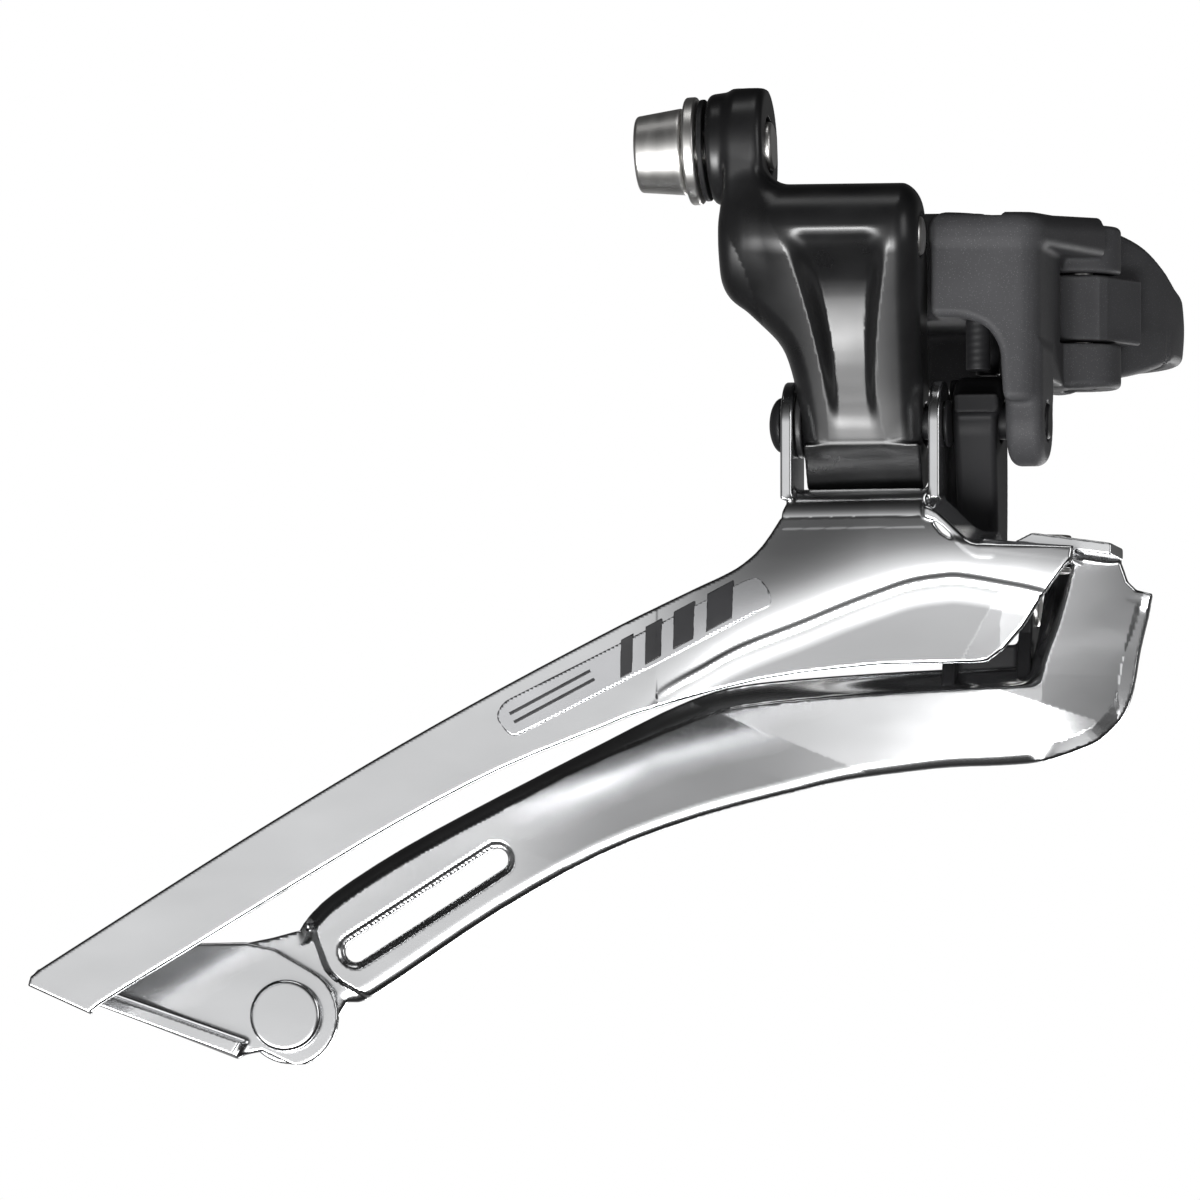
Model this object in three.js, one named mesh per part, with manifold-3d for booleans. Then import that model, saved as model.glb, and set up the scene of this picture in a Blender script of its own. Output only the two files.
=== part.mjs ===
// Front derailleur for a road bicycle: hinged band clamp, four-bar linkage and chain cage.
// Millimetres. +Z runs up the seat tube, +X points forwards, +Y points inboard. The origin lies
// on the seat tube's axis, 2 mm above the middle of the clamp band. Drawn in the lowest gear.
import * as THREE from 'three';
import { mergeVertices } from 'three/addons/utils/BufferGeometryUtils.js';
import Module from 'manifold-3d';

const wasm = await Module();
wasm.setup();

// ---------- driving dimensions ----------
const GAP = 0.3;
const TUBE_R = 15.9;
const BORE_R = TUBE_R + 0.1;
const BAND_R = 18.9;
const RING_R = 19.5;
const BAND_MID = -2;
const BAND_HALF = 3.9;
const LUG_HALF = 4.6;
const BASE_TOP = 6.6;
const ROOF_Z = 3.3;
const ARM_Z = -4.1;
const BASE_LOW = -9.7;
const SPLIT_DEG = 115;
const CLAMP_BOLT_R = 23.6;

const HINGE = { x: 10.9, y: -17.5, pin: 1.4, knuckle: 4.2, tongue: 3.1, low: -5, high: 1.6 };

// The four link pivots run fore and aft. Each is (y, z); the links are equal and parallel.
const P1 = { y: -45.8, z: 3.7 };
const P2 = { y: -39, z: -14.6 };
const P3 = { y: -34, z: -14.1 };
const P4 = { y: P3.y + P2.y - P1.y, z: P3.z + P2.z - P1.z };

const PIN_R = 2;
const LINK_PIN_R = 1.8;
const LINK_FRONT = -1.2;
const LINK_REAR = -21.6;
const BARREL_R = 5.3;
const LOWER_BARREL_R = 4;
const KNUCKLE = { r: 3.7, rear: -13.2, front: -3.9 };
const POCKET = { r: 4.1, rear: -17.6, front: -3.4 };
const EAR = { rear: -16.2, front: -1.3, thick: 1.2, r: 4.3 };
const INNER_LINK = { rear: 1, front: 6.4, r: 4.3, low_r: 3.1, bar: 2.7 };
const TAB = { rear: 6.8, front: 11, r: 4.5 };
const STOP_REACH = 3.4;
const SCREW = { x: 3.55, r: 1.3, head_r: 2.1, tip: -9.2 };

const OUTER_Y = -45;
const INNER_Y = -32;
const SHEET = 1.2;
const INNER_SHEET = 1;
const RECESS = 1.2;
const NOSE = 3;
const TAIL_RIVET = { x: -67.1, z: -72.9, r: 3.6 };

// Skirt of the outer link about the cage's pin, and the clear height that it leaves in the cage.
const SKIRT = { r: 6.2, rear: -13.4, front: -1.7, face: -42.2, top: -13 };

// Cable anchor: stations run along the bolt's axis, which climbs towards the front.
const ANCHOR = {
  y: -43, z: 12.9, tilt: THREE.MathUtils.degToRad(3), turn_at: -20,
  tip: -29.9, head: -25.1, end: -16.2, shank_r: 2.5, hole_r: 2.8,
};

// Edges and folds of the two cage plates, as (x, z) corners.
const UPPER_EDGE = [[-90.2, -68.6], [-63.9, -52.4], [-43.6, -41], [-23.4, -30.9], [-18.6, -28.3],
  [-15.6, -24.3], [-13.7, -21.3]];
const LOWER_EDGE = [[4, -39.1], [-7.2, -39.6], [-17.3, -40.8], [-28.9, -43.7], [-53.7, -54.2],
  [-84.9, -73.3]];
const CREST = [[-29, -43.6], [-19.3, -37.5], [-5.1, -32.1], [3, -30.7], [11.1, -32.3], [15, -34]];

const INNER_UPPER = [[-66.2, -64.1], [-62.9, -60.5], [-55.8, -56], [-35.5, -45.7], [-25.4, -41.6],
  [-15.3, -40.4], [5, -39.3], [8.8, -38.5]];
const INNER_LOWER = [[16.3, -45], [13.1, -46.9], [9, -48.1], [-0.1, -48.5], [-15.3, -50.7],
  [-35.5, -57], [-46, -62.4], [-59.6, -71.2]];
const FOLD = [[-46, 8], [-39, 8.6], [-34, 10.3], [-28, 11.9]];

// Fittings.
const CLAMP_BOLT = { r: 2.4, hole: 3, head_r: 4.1, head: 4.6 };
const BRACKET = { rear: -0.9, front: 8, sheet: 1.5 };
const BRIDGE_RIVETS = [6.6, 11.2];
const BRIDGE_RIVET_Y = -38.6;
const SPRING = { r: 3, wire: 0.42, rear: -16.9, front: -13.9, turns: 2.5, sides: 7, leg: 2.4 };

const FINISH = {
  casting: { color: 0x3c3d40, roughness: 0.55, metalness: 0.5 },
  link: { color: 0x1b1b1d, roughness: 0.2, metalness: 0.3 },
  dark: { color: 0x161617, roughness: 0.45, metalness: 0.4 },
  plate: { color: 0xd2d3d6, roughness: 0.15, metalness: 1 },
  steel: { color: 0xc9c7c2, roughness: 0.3, metalness: 1 },
  black: { color: 0x101011, roughness: 0.3, metalness: 0.5 },
  nylon: { color: 0x1d1d1f, roughness: 0.6, metalness: 0 },
  decal: { color: 0xcfd1d4, roughness: 0.35, metalness: 0.4 },
};

// ---------- solids ----------
// A closed geometry as a solid that can be joined and cut.
function solid(geometry) {
  const bare = geometry.index ? geometry.toNonIndexed() : geometry.clone();
  bare.deleteAttribute('normal');
  bare.deleteAttribute('uv');
  const merged = mergeVertices(bare, 1e-4);
  return new wasm.Manifold(new wasm.Mesh({
    numProp: 3,
    vertProperties: merged.attributes.position.array,
    triVerts: new Uint32Array(merged.index.array),
  }));
}

function geometryOf(body) {
  const mesh = body.getMesh();
  const points = new Float32Array(mesh.numVert * 3);
  for (let i = 0; i < mesh.numVert; i++) {
    points.set(mesh.vertProperties.subarray(i * mesh.numProp, i * mesh.numProp + 3), i * 3);
  }
  const geometry = new THREE.BufferGeometry();
  geometry.setAttribute('position', new THREE.BufferAttribute(points, 3));
  geometry.setIndex(new THREE.BufferAttribute(new Uint32Array(mesh.triVerts), 1));
  geometry.computeVertexNormals();
  return geometry;
}

const join = (...bodies) => bodies.reduce((whole, body) => whole.add(body));
const cut = (body, ...tools) => tools.reduce((left, tool) => left.subtract(tool), body);

// Rods along each axis, given by the two cross coordinates, a radius and the two ends.
function rod(radius, from, to, sides = 28) {
  return new THREE.CylinderGeometry(radius, radius, to - from, sides).translate(0, (from + to) / 2, 0);
}

function rodX(y, z, radius, from, to, sides) {
  return solid(rod(radius, from, to, sides).rotateZ(-Math.PI / 2).translate(0, y, z));
}

function rodY(x, z, radius, from, to, sides) {
  return solid(rod(radius, from, to, sides).translate(x, 0, z));
}

function rodZ(x, y, radius, from, to, sides) {
  return solid(rod(radius, from, to, sides).rotateX(Math.PI / 2).translate(x, y, 0));
}

function box(low, high) {
  const size = low.map((value, i) => high[i] - value);
  const middle = low.map((value, i) => (high[i] + value) / 2);
  return solid(new THREE.BoxGeometry(...size).translate(...middle));
}

// An outline is a list of corners [a, b] or of arcs { at, r, from, to } in degrees.
function shapeOf(outline) {
  const points = [];
  for (const item of outline) {
    if (Array.isArray(item)) {
      points.push(new THREE.Vector2(...item));
      continue;
    }
    const steps = item.steps ?? 8;
    for (let i = 0; i <= steps; i++) {
      const angle = THREE.MathUtils.degToRad(item.from + (item.to - item.from) * i / steps);
      const [a, b] = item.at;
      points.push(new THREE.Vector2(a + item.r * Math.cos(angle), b + item.r * Math.sin(angle)));
    }
  }
  return new THREE.Shape(points);
}

// A smooth line through a few points, as corners for an outline.
function smooth(points, steps) {
  const curve = new THREE.SplineCurve(points.map(([a, b]) => new THREE.Vector2(a, b)));
  return curve.getPoints(steps).map((p) => [p.x, p.y]);
}

const prism = (outline, depth) =>
  new THREE.ExtrudeGeometry(shapeOf(outline), { depth, bevelEnabled: false, curveSegments: 8 });

// An (x, z) outline between two depths y, an (x, y) plan between two heights,
// and a (y, z) profile between two stations x.
const sideways = (outline, from, to) =>
  solid(prism(outline, to - from).rotateX(Math.PI / 2).translate(0, to, 0));

const upright = (outline, from, to) => solid(prism(outline, to - from).translate(0, 0, from));

function lengthways(outline, from, to) {
  const turn = new THREE.Matrix4().set(0, 0, 1, 0, 1, 0, 0, 0, 0, 1, 0, 0, 0, 0, 0, 1);
  return solid(prism(outline, to - from).applyMatrix4(turn).translate(from, 0, 0));
}

// The (y, z) outline of a bar with round ends of different radius.
function barOutline(a, ra, b, rb) {
  const along = Math.atan2(b.z - a.z, b.y - a.y);
  const length = Math.hypot(b.z - a.z, b.y - a.y);
  const lean = Math.acos((ra - rb) / length);
  const degrees = (angle) => THREE.MathUtils.radToDeg(angle);
  return [
    { at: [a.y, a.z], r: ra, from: degrees(along + lean), to: degrees(along - lean) + 360, steps: 14 },
    { at: [b.y, b.z], r: rb, from: degrees(along - lean), to: degrees(along + lean), steps: 12 },
  ];
}

// A pressed sheet: its chain-cage outline in (x, z), with the face y = surface(x, z).
function pressed(outline, surface, thickness, cell) {
  const shape = shapeOf(outline).getPoints();
  const xs = shape.map((p) => p.x);
  const zs = shape.map((p) => p.y);
  const low = [Math.min(...xs) - 1, Math.min(...zs) - 1];
  const size = [Math.max(...xs) + 1 - low[0], Math.max(...zs) + 1 - low[1]];
  const count = size.map((length) => Math.ceil(length / cell));
  const slab = new THREE.BoxGeometry(size[0], thickness, size[1], count[0], 1, count[1]);
  slab.translate(low[0] + size[0] / 2, 0, low[1] + size[1] / 2);
  const place = slab.attributes.position;
  for (let i = 0; i < place.count; i++) {
    const near = place.getY(i) < 0 ? 0 : thickness;
    place.setY(i, surface(place.getX(i), place.getZ(i)) + near);
  }
  return solid(slab).intersect(sideways(outline, -60, -15));
}

const ramp = (value, low, high) => THREE.MathUtils.smoothstep(value, low, high);

// A value read from a polyline of [x, value] pairs.
function along(table, x) {
  const next = table.findIndex(([at]) => at >= x);
  if (next === 0) return table[0][1];
  if (next < 0) return table[table.length - 1][1];
  const [[x0, v0], [x1, v1]] = [table[next - 1], table[next]];
  return v0 + (v1 - v0) * (x - x0) / (x1 - x0);
}

// A sector of a ring about the seat tube, between two angles in degrees.
function ring(inner, outer, from, to, low, high, steps = 30) {
  const outline = [
    { at: [0, 0], r: outer, from, to, steps },
    { at: [0, 0], r: inner, from: to, to: from, steps },
  ];
  return upright(outline, low, high);
}

// ---------- clamp ----------
// A body drawn at the front of the seat tube, turned to where the clamp's halves meet.
const atSplit = (body) => body.rotate([0, 0, SPLIT_DEG]);

const boltRod = (radius, from, to, sides) =>
  atSplit(rodY(CLAMP_BOLT_R, BAND_MID, radius, from, to, sides));

function clampLug(from, to) {
  const low = BAND_MID - LUG_HALF;
  const high = BAND_MID + LUG_HALF;
  const block = box([BORE_R + 0.6, from, low], [CLAMP_BOLT_R, to, high]);
  return atSplit(block.add(rodY(CLAMP_BOLT_R, BAND_MID, LUG_HALF, from, to)));
}

function clampBolt() {
  const head = boltRod(CLAMP_BOLT.head_r, 7.2, 7.2 + CLAMP_BOLT.head, 32);
  const shank = boltRod(CLAMP_BOLT.r, -8.4, 8, 24);
  const socket = boltRod(2.3, 9, 14, 6);
  return cut(join(head, shank), socket);
}

const clampWasher = () => cut(boltRod(4.5, 5.9, 6.9, 32), boltRod(2.7, 5, 8, 24));

function clampNut() {
  return cut(boltRod(4.4, -8.9, -5.2, 6), boltRod(CLAMP_BOLT.hole, -10, -4, 24));
}

// The hinged half of the clamp narrows from the hinge to the band's even width.
function clampBand() {
  const low = BAND_MID - BAND_HALF;
  const high = BAND_MID + BAND_HALF;
  const front = ring(BORE_R, BAND_R, -58, 0, -12, 10, 16).intersect(
    sideways([[9, 7], [13.4, 6.7], [16.4, 4.5], [18.2, 2.9], [19.2, high], [19.2, low],
      [18.3, -6.3], [13.5, -8.4], [9, -8.8]], -25, 1));
  const back = ring(BORE_R, BAND_R, -1, SPLIT_DEG - 2.4, low, high);
  const clear = rodZ(HINGE.x, HINGE.y, HINGE.knuckle + GAP + 0.2, -20, 20, 32);
  const tongue = join(
    rodZ(HINGE.x, HINGE.y, HINGE.tongue, HINGE.low, HINGE.high),
    ring(BORE_R, BAND_R, -59, -40, HINGE.low, HINGE.high, 8),
  );
  const fillet = upright([[9.6, -19.9], [13.4, -18.4], [16.6, -12.5], [12, -12.6]],
    HINGE.low, HINGE.high);
  const whole = join(front.subtract(clear), back, tongue, fillet, clampLug(-5, -0.8));
  return cut(whole,
    rodZ(0, 0, BORE_R, -20, 20, 72),
    rodZ(HINGE.x, HINGE.y, HINGE.pin + GAP, -20, 20),
    boltRod(CLAMP_BOLT.hole, -20, 0, 24));
}

function hingePin() {
  return rodZ(HINGE.x, HINGE.y, HINGE.pin, BASE_LOW + 0.3, ROOF_Z - 0.6, 20);
}

// ---------- base bracket ----------
// The cast bracket: saddle, arm out to the links, hinge knuckles, pivot knuckle and pivot tab.
function baseBracket() {
  const midLow = BAND_MID - LUG_HALF;
  const midHigh = BAND_MID + LUG_HALF;
  const saddle = join(
    ring(BORE_R, RING_R, 205, 302, BASE_LOW, BASE_TOP, 24),
    ring(BORE_R, RING_R, SPLIT_DEG + 2.4, 206, midLow, midHigh, 20),
    clampLug(0.8, 5.6),
  );
  const armPlan = [[-14.5, -10], [-14.5, -36.6], [-1, -36.6], [-0.6, -42], [8.6, -39.8], [10.2, -38]];
  const roof = upright([...armPlan, [15.2, -17.6], [13, -12]], ROOF_Z - 0.1, BASE_TOP);
  const arm = upright([...armPlan, [10.2, -12]], ARM_Z, ROOF_Z);
  const cheek = sideways([[4, ARM_Z + 0.1], [TAB.rear - 0.6, -6.4], [TAB.rear - 0.3, -10.4],
    [10.1, -10.4], [10.1, ARM_Z + 0.1]], -38.8, -14);
  const tab = lengthways([[P3.y - TAB.r, -6], { at: [P3.y, P3.z], r: TAB.r, from: 180, to: 360 },
    [P3.y + TAB.r, -6]], TAB.rear, TAB.front);
  const block = upright([[8, -22.1], [HINGE.x, -21.7], [13, -20], [13, -13], [8, -13]],
    BASE_LOW, ROOF_Z);
  const beyondHinge = upright([[0, 0], [17.2, -26.9], [40, -26.9], [40, 0]], -15, 15);
  const knuckles = rodZ(HINGE.x, HINGE.y, HINGE.knuckle, BASE_LOW, BASE_TOP, 32);
  const slot = upright([[7.7, -24], [20, -24], [20, -8], [7.7, -12.8]],
    HINGE.low - GAP, HINGE.high + GAP);
  const pivot = join(
    rodX(P1.y, P1.z, KNUCKLE.r, KNUCKLE.rear, KNUCKLE.front),
    lengthways([[P1.y, P1.z - KNUCKLE.r], [-35, -3.4], [-35, P1.z + 1.5], [P1.y, P1.z + 1.5]],
      KNUCKLE.rear, KNUCKLE.front),
  );
  const lockPocket = box([0.9, -39.9, 2.6], [6.2, -28, 10]);
  const screwHoles = [-STOP_REACH, STOP_REACH].map((side) =>
    rodZ(SCREW.x, P3.y + side, SCREW.r + GAP, -12, 5, 20));
  const body = join(saddle, roof, arm, cheek, tab, block).subtract(beyondHinge);
  return cut(join(body, knuckles, pivot),
    rodZ(0, 0, BORE_R, -20, 20, 72),
    slot,
    rodZ(HINGE.x, HINGE.y, HINGE.pin + 0.15, BASE_LOW - 1, ROOF_Z - 0.3),
    rodX(P1.y, P1.z, PIN_R + GAP, -30, 0),
    rodX(P3.y, P3.z, LINK_PIN_R + 0.1, 0, 20),
    boltRod(CLAMP_BOLT.hole, 0, 8, 24),
    lockPocket, ...screwHoles);
}

function limitScrew(side) {
  const y = P3.y + side;
  const head = rodZ(SCREW.x, y, SCREW.head_r, 4.1, 6.3, 24);
  const shank = rodZ(SCREW.x, y, SCREW.r, SCREW.tip, 4.3, 16);
  const slots = [0, 90].map((turn) =>
    box([-1.5, -0.3, 5.3], [1.5, 0.3, 7]).rotate([0, 0, turn]).translate([SCREW.x, y, 0]));
  return cut(join(head, shank), ...slots);
}

function screwLockPlate() {
  const plate = box([1.2, -39.6, 2.9], [5.9, -28.3, 3.8]);
  const holes = [-STOP_REACH, STOP_REACH].map((side) =>
    rodZ(SCREW.x, P3.y + side, SCREW.r + 0.25, 2, 5, 16));
  return cut(plate, ...holes);
}

// ---------- links ----------
// The outer link hangs from the upper pin as a channel that covers the bracket's knuckle.
function outerLink() {
  const front = [[-21.3, -0.2], [-21.5, 5.3], [-22.6, 9], [-22.6, 18.4], [-16.6, 19.4],
    { at: [-14.2, 11.6], r: 2.7, from: 180, to: 270 }, [-3.6, 8.9],
    { at: [-3.8, 6.3], r: 2.6, from: 80, to: 0 }, [LINK_FRONT, 2.5], [LINK_FRONT - 0.4, -18],
    [-13.5, -18.6], [-14.3, -10.3], [-16.6, -5.5], [-20.6, -2.2]];
  const shell = lengthways(barOutline(P1, BARREL_R, P2, LOWER_BARREL_R), LINK_REAR, LINK_FRONT)
    .intersect(sideways(front, -60, -20));
  const skirt = rodX(P2.y, P2.z, SKIRT.r, SKIRT.rear, SKIRT.front, 36)
    .intersect(box([SKIRT.rear, SKIRT.face, -30], [SKIRT.front, -20, SKIRT.top]));
  const boss = tiltedRod(5.7, -22.5, -16.7, 32);
  const neck = lengthways([[-47.6, 4], [-38.2, 7], [-38, 13], [-47.9, 13]], LINK_REAR, -17);
  const inside = lengthways([
    { at: [P1.y, P1.z], r: POCKET.r, from: 75, to: 270, steps: 18 },
    [P1.y + 6, P1.z - 7.4], [-30, -8], [-30, 8.6], [P1.y + 1, P1.z + 5]], POCKET.rear, POCKET.front);
  const hollow = lengthways([[-44.2, 0], [-42.3, -9], [-30, -9], [-30, 0]],
    POCKET.rear + 4, POCKET.front - 0.4);
  return cut(join(shell, skirt, boss, neck), inside, hollow,
    rodX(P1.y, P1.z, PIN_R + 0.1, -30, 5),
    rodX(P2.y, P2.z, LINK_PIN_R + GAP, -30, 5),
    tiltedRod(2.9, -30, -10, 24));
}

const upperPin = () => rodX(P1.y, P1.z, PIN_R, LINK_REAR + 0.8, LINK_FRONT + 0.5, 24);

function lowerPin() {
  const head = solid(new THREE.SphereGeometry(4.6, 24, 12).scale(0.28, 0.6, 0.6)
    .translate(EAR.rear - 0.35, P2.y, P2.z)).intersect(box([-20, -50, -20], [EAR.rear - GAP, -30, -9]));
  const rivet = rodX(P2.y, P2.z, 2.35, EAR.front + EAR.thick + GAP, EAR.front + EAR.thick + 0.75, 24);
  return join(head, rivet, rodX(P2.y, P2.z, LINK_PIN_R - 0.2, EAR.rear - 0.8, 0.3, 20));
}

function lowerWasher(from, to) {
  return cut(rodX(P2.y, P2.z, 3.3, from, to, 28), rodX(P2.y, P2.z, LINK_PIN_R + 0.1, -30, 10, 20));
}

// The inner link, with a rocker on top whose two ears meet the limit screws.
function innerLink() {
  const { rear, front, r, low_r: lowR } = INNER_LINK;
  const bar = lengthways(barOutline(P3, r, P4, lowR), rear, front);
  const rocker = lengthways([[P3.y - 5.2, P3.z + 0.6], [P3.y - 5.2, P3.z + 2.6],
    { at: [P3.y, P3.z], r: r - 0.1, from: 150, to: 30 },
    [P3.y + 5.4, SCREW.tip - GAP], [P3.y + 5.4, P3.z + 1.6]], rear + 1, front - 1);
  return cut(join(bar, rocker),
    rodX(P3.y, P3.z, LINK_PIN_R + GAP, -5, 10),
    rodX(P4.y, P4.z, LINK_PIN_R + 0.25, -5, 10));
}

const innerUpperPin = () => rodX(P3.y, P3.z, LINK_PIN_R, INNER_LINK.rear + 0.1, TAB.front - 0.2, 20);

const innerLowerPin = () =>
  rodX(P4.y, P4.z, LINK_PIN_R, BRACKET.rear - 0.4, BRACKET.front + 0.4, 20);

// ---------- cage ----------
// The outer plate's face, with the panel below its crest pressed in.
function outerFace(x, z) {
  const below = along(CREST, x) - z;
  return OUTER_Y + RECESS * ramp(below, 0.2, 2.2) * ramp(x, -29, -26);
}

function outerPlate() {
  const outline = [[-91.5, -70.3], ...smooth(UPPER_EDGE, 20), [-0.6, -21.6], [-0.2, -24.4],
    [1, -26], [5, -27.1], [14.1, -27.4], [11.1, -32.3], [7, -37.6], ...smooth(LOWER_EDGE, 16)];
  const face = pressed(outline, outerFace, SHEET, 2.4);
  const shelf = box([EAR.rear + 1.2, OUTER_Y + 0.2, -22.4], [EAR.front + 0.3, P2.y + 4, -21.3]);
  const ear = (from) => lengthways([[P2.y - EAR.r, -22.2],
    { at: [P2.y, P2.z], r: EAR.r, from: 180, to: 0, steps: 12 }, [P2.y + EAR.r, -22.2]],
    from, from + EAR.thick);
  const flange = lengthways([[OUTER_Y + 0.2, -27.2], [OUTER_Y + 0.2, -26], [-40, -24], [-40, -25.2]],
    -1, 4.4);
  const bridge = box([3.8, OUTER_Y + 0.3, -27.5], [13.9, INNER_Y - NOSE + 0.9, -26.4]);
  const pinHole = rodX(P2.y, P2.z, LINK_PIN_R + 0.05, -30, 10, 20);
  const rivets = BRIDGE_RIVETS.map((x) => rodZ(x, BRIDGE_RIVET_Y, 1.5, -30, -20, 16));
  return cut(join(face, shelf, ear(EAR.rear), ear(EAR.front), flange, bridge, tailWrap()),
    pinHole, ...rivets,
    rodY(TAIL_RIVET.x, TAIL_RIVET.z, 2.1, -40, -20, 20));
}

// The tail turns inboard and forwards again to meet the inner plate.
function tailWrap() {
  const wallLine = [[-91.1, -69.9], [-90.6, -68.8], [-71.6, -75.7], [-72.2, -76.9]];
  const wall = sideways(wallLine, OUTER_Y + 0.2, INNER_Y - GAP);
  const short = sideways([[-86, -60], [-60, -60], [-60, -90], [-86, -90]], -60, INNER_Y - 4.2);
  const tab = sideways([[-88.8, -69.9], [-80, -66], [-75.9, -65.4], [-71.3, -65.45], [-65.75, -67.4],
    { at: [TAIL_RIVET.x, TAIL_RIVET.z], r: 5, from: 55, to: -75 }, [-69.6, -76.4], [-72, -76.3]],
    INNER_Y - GAP - SHEET, INNER_Y - GAP);
  return wall.subtract(short).add(tab);
}

// The inner plate's chain side: flat, with the nose standing out ahead of its fold line.
function innerFace(x, z) {
  const ahead = x - along(FOLD, z);
  return INNER_Y - NOSE * ramp(ahead, -1.2, 1.4) * ramp(z, -46.5, -42);
}

function innerPlate() {
  const tail = [[-61.4, -71.3], { at: [TAIL_RIVET.x, TAIL_RIVET.z], r: 4.7, from: -60, to: -190 },
    [-71.5, -65.4], [-68.9, -64.9]];
  const outline = [...smooth(INNER_UPPER, 20), [10.35, -34], [11.9, -28], [17.1, -28], [17.9, -30],
    [18.6, -31], [20.5, -31.4], [19.1, -37], [18.1, -42], ...smooth(INNER_LOWER, 18), ...tail];
  const face = pressed(outline, innerFace, INNER_SHEET, 2.4);
  const seat = box([4, BRIDGE_RIVET_Y - 2.6, -28.8], [13.6, INNER_Y - NOSE + 0.9, -27.8]);
  const slot = sideways([
    { at: [-60.4, -66.3], r: 1.2, from: 120, to: 300 },
    { at: [-46.1, -57.3], r: 1.2, from: -60, to: 120 }], -50, -20);
  const rivets = BRIDGE_RIVETS.map((x) => rodZ(x, BRIDGE_RIVET_Y, 1.5, -35, -20, 16));
  return cut(join(face, seat), slot, ...rivets,
    rodY(TAIL_RIVET.x, TAIL_RIVET.z, 2.1, -50, -20, 20));
}

// The bracket on the inner plate's back that holds the inner link's lower pin.
function linkBracket() {
  const { rear, front, sheet } = BRACKET;
  const back = INNER_Y + INNER_SHEET + GAP;
  const foot = box([rear, back, -46.2], [front, back + sheet, -36.2]);
  const side = [[back, -40], [back, -35], [P4.y - 3.2, P4.z],
    { at: [P4.y, P4.z], r: 3.2, from: 180, to: 0 }, [P4.y + 3.2, -36], [back + sheet, -40]];
  const cheeks = [lengthways(side, rear, rear + 1.4), lengthways(side, front - 1.4, front)];
  return join(foot, ...cheeks).subtract(rodX(P4.y, P4.z, LINK_PIN_R + 0.05, -10, 15, 20));
}

function bridgeRivet(x) {
  return join(rodZ(x, BRIDGE_RIVET_Y, 1.2, -29.6, -25.6, 16),
    rodZ(x, BRIDGE_RIVET_Y, 1.9, -26.1, -25.5, 20),
    rodZ(x, BRIDGE_RIVET_Y, 1.9, -29.7, -29.1, 20));
}

function tailRivet() {
  const { x, z, r } = TAIL_RIVET;
  const face = INNER_Y - GAP - SHEET;
  return join(rodY(x, z, r, face - 1.3, face - GAP, 36),
    rodY(x, z, 1.8, face - 1, INNER_Y + INNER_SHEET + 0.9, 20),
    rodY(x, z, 3, INNER_Y + INNER_SHEET + GAP, INNER_Y + INNER_SHEET + 1, 28));
}

function decal() {
  const outline = [[-44.1, -43.9], [-43.3, -42.4], [-18.7, -30.4], [-17.4, -30.2], [-16.3, -31.6],
    [-16.1, -33], [-42.4, -46.1]];
  return sideways(outline, OUTER_Y - 0.22, OUTER_Y - 0.04);
}

// ---------- cable anchor ----------
// Rods about the anchor bolt's axis, which climbs a little towards the front.
function tiltedRod(radius, from, to, sides) {
  return tilted(rodX(0, 0, radius, from, to, sides));
}

function tilted(body) {
  return body.translate([-ANCHOR.turn_at, 0, 0])
    .rotate([0, -THREE.MathUtils.radToDeg(ANCHOR.tilt), 0])
    .translate([ANCHOR.turn_at, ANCHOR.y, ANCHOR.z]);
}

function anchorBolt() {
  const { tip, head, end, shank_r: shankR } = ANCHOR;
  const profile = [[0, tip], [3.5, tip], [3.8, tip + 0.3], [4.4, head], [shankR, head],
    [shankR, end], [0, end]].map(([radius, station]) => new THREE.Vector2(radius, station));
  const turned = solid(new THREE.LatheGeometry(profile, 32).rotateZ(-Math.PI / 2));
  return cut(tilted(turned), tiltedRod(2.3, tip - 2, tip + 2.5, 6));
}

function anchorWasher() {
  return cut(tiltedRod(5.4, -24.8, -23.6, 36), tiltedRod(ANCHOR.hole_r, -30, -20, 24));
}

function anchorPlate() {
  return cut(tiltedRod(5.1, -23.35, -22.8, 36), tiltedRod(ANCHOR.hole_r, -30, -20, 24));
}

// ---------- return spring ----------
// A torsion spring around the upper pin: a straight leg, the coil, and a second straight leg.
class SpringLine extends THREE.Curve {
  getPoint(t) {
    const { r, rear, front, turns, leg } = SPRING;
    const sweep = turns * 2 * Math.PI;
    const whole = sweep * r + 2 * leg;
    const along = t * whole - leg;
    const wound = THREE.MathUtils.clamp(along / r, 0, sweep);
    const straight = along - wound * r;
    const angle = Math.PI / 2 + wound;
    const x = rear + (front - rear) * wound / sweep;
    return new THREE.Vector3(x, P1.y + r * Math.cos(angle) - straight * Math.sin(angle),
      P1.z + r * Math.sin(angle) + straight * Math.cos(angle));
  }
}

function returnSpring() {
  const { wire, sides, turns } = SPRING;
  const section = new THREE.Shape(Array.from({ length: sides }, (_, i) => {
    const angle = i * 2 * Math.PI / sides;
    return new THREE.Vector2(wire * Math.cos(angle), wire * Math.sin(angle));
  }));
  return solid(new THREE.ExtrudeGeometry(section, {
    steps: turns * 16 + 6, bevelEnabled: false, extrudePath: new SpringLine(),
  }));
}

// ---------- assembly ----------
const derailleur = new THREE.Group();

function add(name, body, finish) {
  const mesh = new THREE.Mesh(geometryOf(body), new THREE.MeshStandardMaterial(FINISH[finish]));
  mesh.name = name;
  derailleur.add(mesh);
}

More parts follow.
